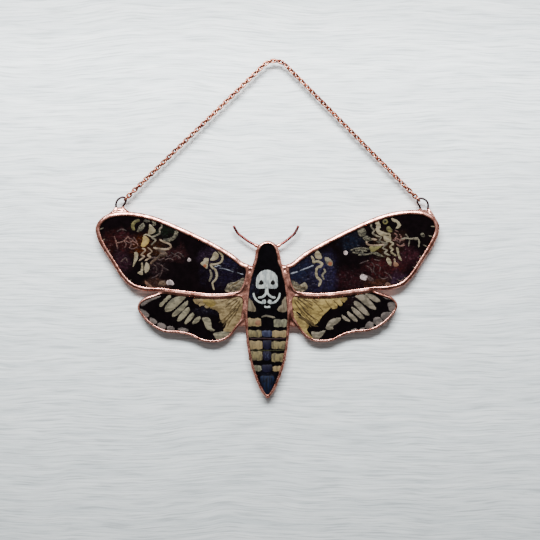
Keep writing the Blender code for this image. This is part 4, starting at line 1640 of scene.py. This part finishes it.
# The dark glass of each kind of pane, under its clouds.
BODY_BASE = (7, 6, 8)
FOREWING_BASE = (9, 5, 7)
HINDWING_BASE = (8, 5, 7)


def pane_looks():
    """The look of each pane, by its node."""
    hindwing = glass("hindwing_paint", HINDWING_BASE, HINDWING_TINTS)
    return {
        "body_glass": glass("body_paint", BODY_BASE, BODY_TINTS),
        "forewing_glass_left": glass("left_forewing_paint", FOREWING_BASE, LEFT_TINTS),
        "forewing_glass_right": glass("right_forewing_paint", FOREWING_BASE, RIGHT_TINTS),
        "hindwing_glass_left": hindwing,
        "hindwing_glass_right": hindwing,
    }


def painted_marks():
    """One thin piece of each colour, in the order in which the colours come in."""
    forewings = LEFT_FOREWING_MARKS + RIGHT_FOREWING_MARKS
    hindwings = LEFT_HINDWING_MARKS + RIGHT_HINDWING_MARKS
    shapes = {}
    for colour, made in forewings + hindwings + BODY_MARKS:
        shapes.setdefault(colour, []).extend(made)
    slot_of = {colour: slot for slot, paints in PAINTS.items() for colour in paints}
    for colour, made in shapes.items():
        slot = slot_of[colour]
        rgb, second, dryness = PAINTS[slot][colour]
        brush = BODY_BRUSH if slot == "body_glass" else WING_BRUSH
        name = f"paint_{colour}"
        obj = mesh_object(name, *merged(made), paint(name, rgb, second, dryness, brush))
        obj.data.set_sharp_from_angle(angle=PAINT_CREASE)
        enter_piece(obj, slot)


def stage():
    """The pale board behind the moth."""
    bpy.ops.object.select_all(action="DESELECT")
    upright = (math.pi / 2, 0, 0)
    middle = (0, BOARD_BEHIND, BOARD_HEIGHT)
    bpy.ops.mesh.primitive_plane_add(size=BOARD_SIZE, location=middle, rotation=upright)
    board = bpy.context.object
    board.name = "board"
    bpy.ops.object.transform_apply()
    board.data.materials.append(board_material())
    board.select_set(False)
    board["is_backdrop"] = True


# Each window: its place, its width and height, its power and its colour. Both are aimed at the
# moth.
WINDOWS = {
    "window": ((-0.05, -0.56, 0.33), (0.5, 0.18), 19.0, (1.0, 0.995, 0.985)),
    "back_window": ((0.2, 0.6, 0.3), (0.6, 0.4), 9.0, (0.98, 0.99, 1.0)),
}
WINDOW_AIM = (0.0, 0.0, -40 * MM)


def windows():
    """Soft daylight from in front and above, and a little from behind."""
    for name, (place, (width, height), power, colour) in WINDOWS.items():
        data = bpy.data.lights.new(name, "AREA")
        data.shape = "RECTANGLE"
        data.size, data.size_y = width, height
        data.energy = power
        data.color = colour
        obj = bpy.data.objects.new(name, data)
        obj.location = place
        obj.rotation_euler = (Vector(WINDOW_AIM) - Vector(place)).to_track_quat("-Z", "Y").to_euler()
        bpy.context.scene.collection.objects.link(obj)


ROOM_FLOOR = (0.08, 0.07, 0.065, 1.0)
ROOM_WALL = (0.34, 0.31, 0.30, 1.0)
ROOM_CEILING = (0.55, 0.56, 0.58, 1.0)


def room():
    """A dim room with a pale ceiling."""
    world = bpy.data.worlds.new("room")
    bpy.context.scene.world = world
    world.use_nodes = True
    s = Shader(world.node_tree)
    height = s.height(s.add("ShaderNodeTexCoord").outputs["Generated"])
    tone = s.mix(s.ramp(height, -0.4, 0.0), ROOM_FLOOR, ROOM_WALL)
    tone = s.mix(s.ramp(height, 0.1, 0.8), tone, ROOM_CEILING)
    s.fill(world.node_tree.nodes["Background"], {"Color": tone, "Strength": 1.0})


CAMERA_AWAY = 0.62
SENSOR = 36.0


def camera():
    """Looks straight at the glass, so that the photograph's pixels fall on their places."""
    data = bpy.data.cameras.new("camera")
    data.sensor_width = SENSOR
    data.lens = SENSOR * CAMERA_AWAY / (PHOTO_SIDE * PIXEL)
    obj = bpy.data.objects.new("camera", data)
    x, z = spot((PHOTO_SIDE / 2, PHOTO_SIDE / 2))
    obj.location = (x, -CAMERA_AWAY, z)
    obj.rotation_euler = (math.pi / 2, 0, 0)
    bpy.context.scene.collection.objects.link(obj)
    bpy.context.scene.camera = obj


def corners(box):
    return [list(map(float, corner)) for corner in box]


def main():
    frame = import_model()
    cad_box = corners(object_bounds())

    tint_group()
    brushed_group()
    looks = pane_looks()
    for node, look in looks.items():
        frame["nodes"][node].material_slots[0].material = look
    solder(frame, {node: glass_edge(frame, node) for node in looks})
    copper, dark_wire = metal("copper_wire"), metal("loop_wire")
    for side in SIDES:
        feeler(side, copper)
        hanging_loop(side, dark_wire)
    chain(metal("chain_copper"))
    painted_marks()

    stage()
    room()
    windows()
    camera()
    {"cad": cad_box, "visual": corners(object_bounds())}


main()
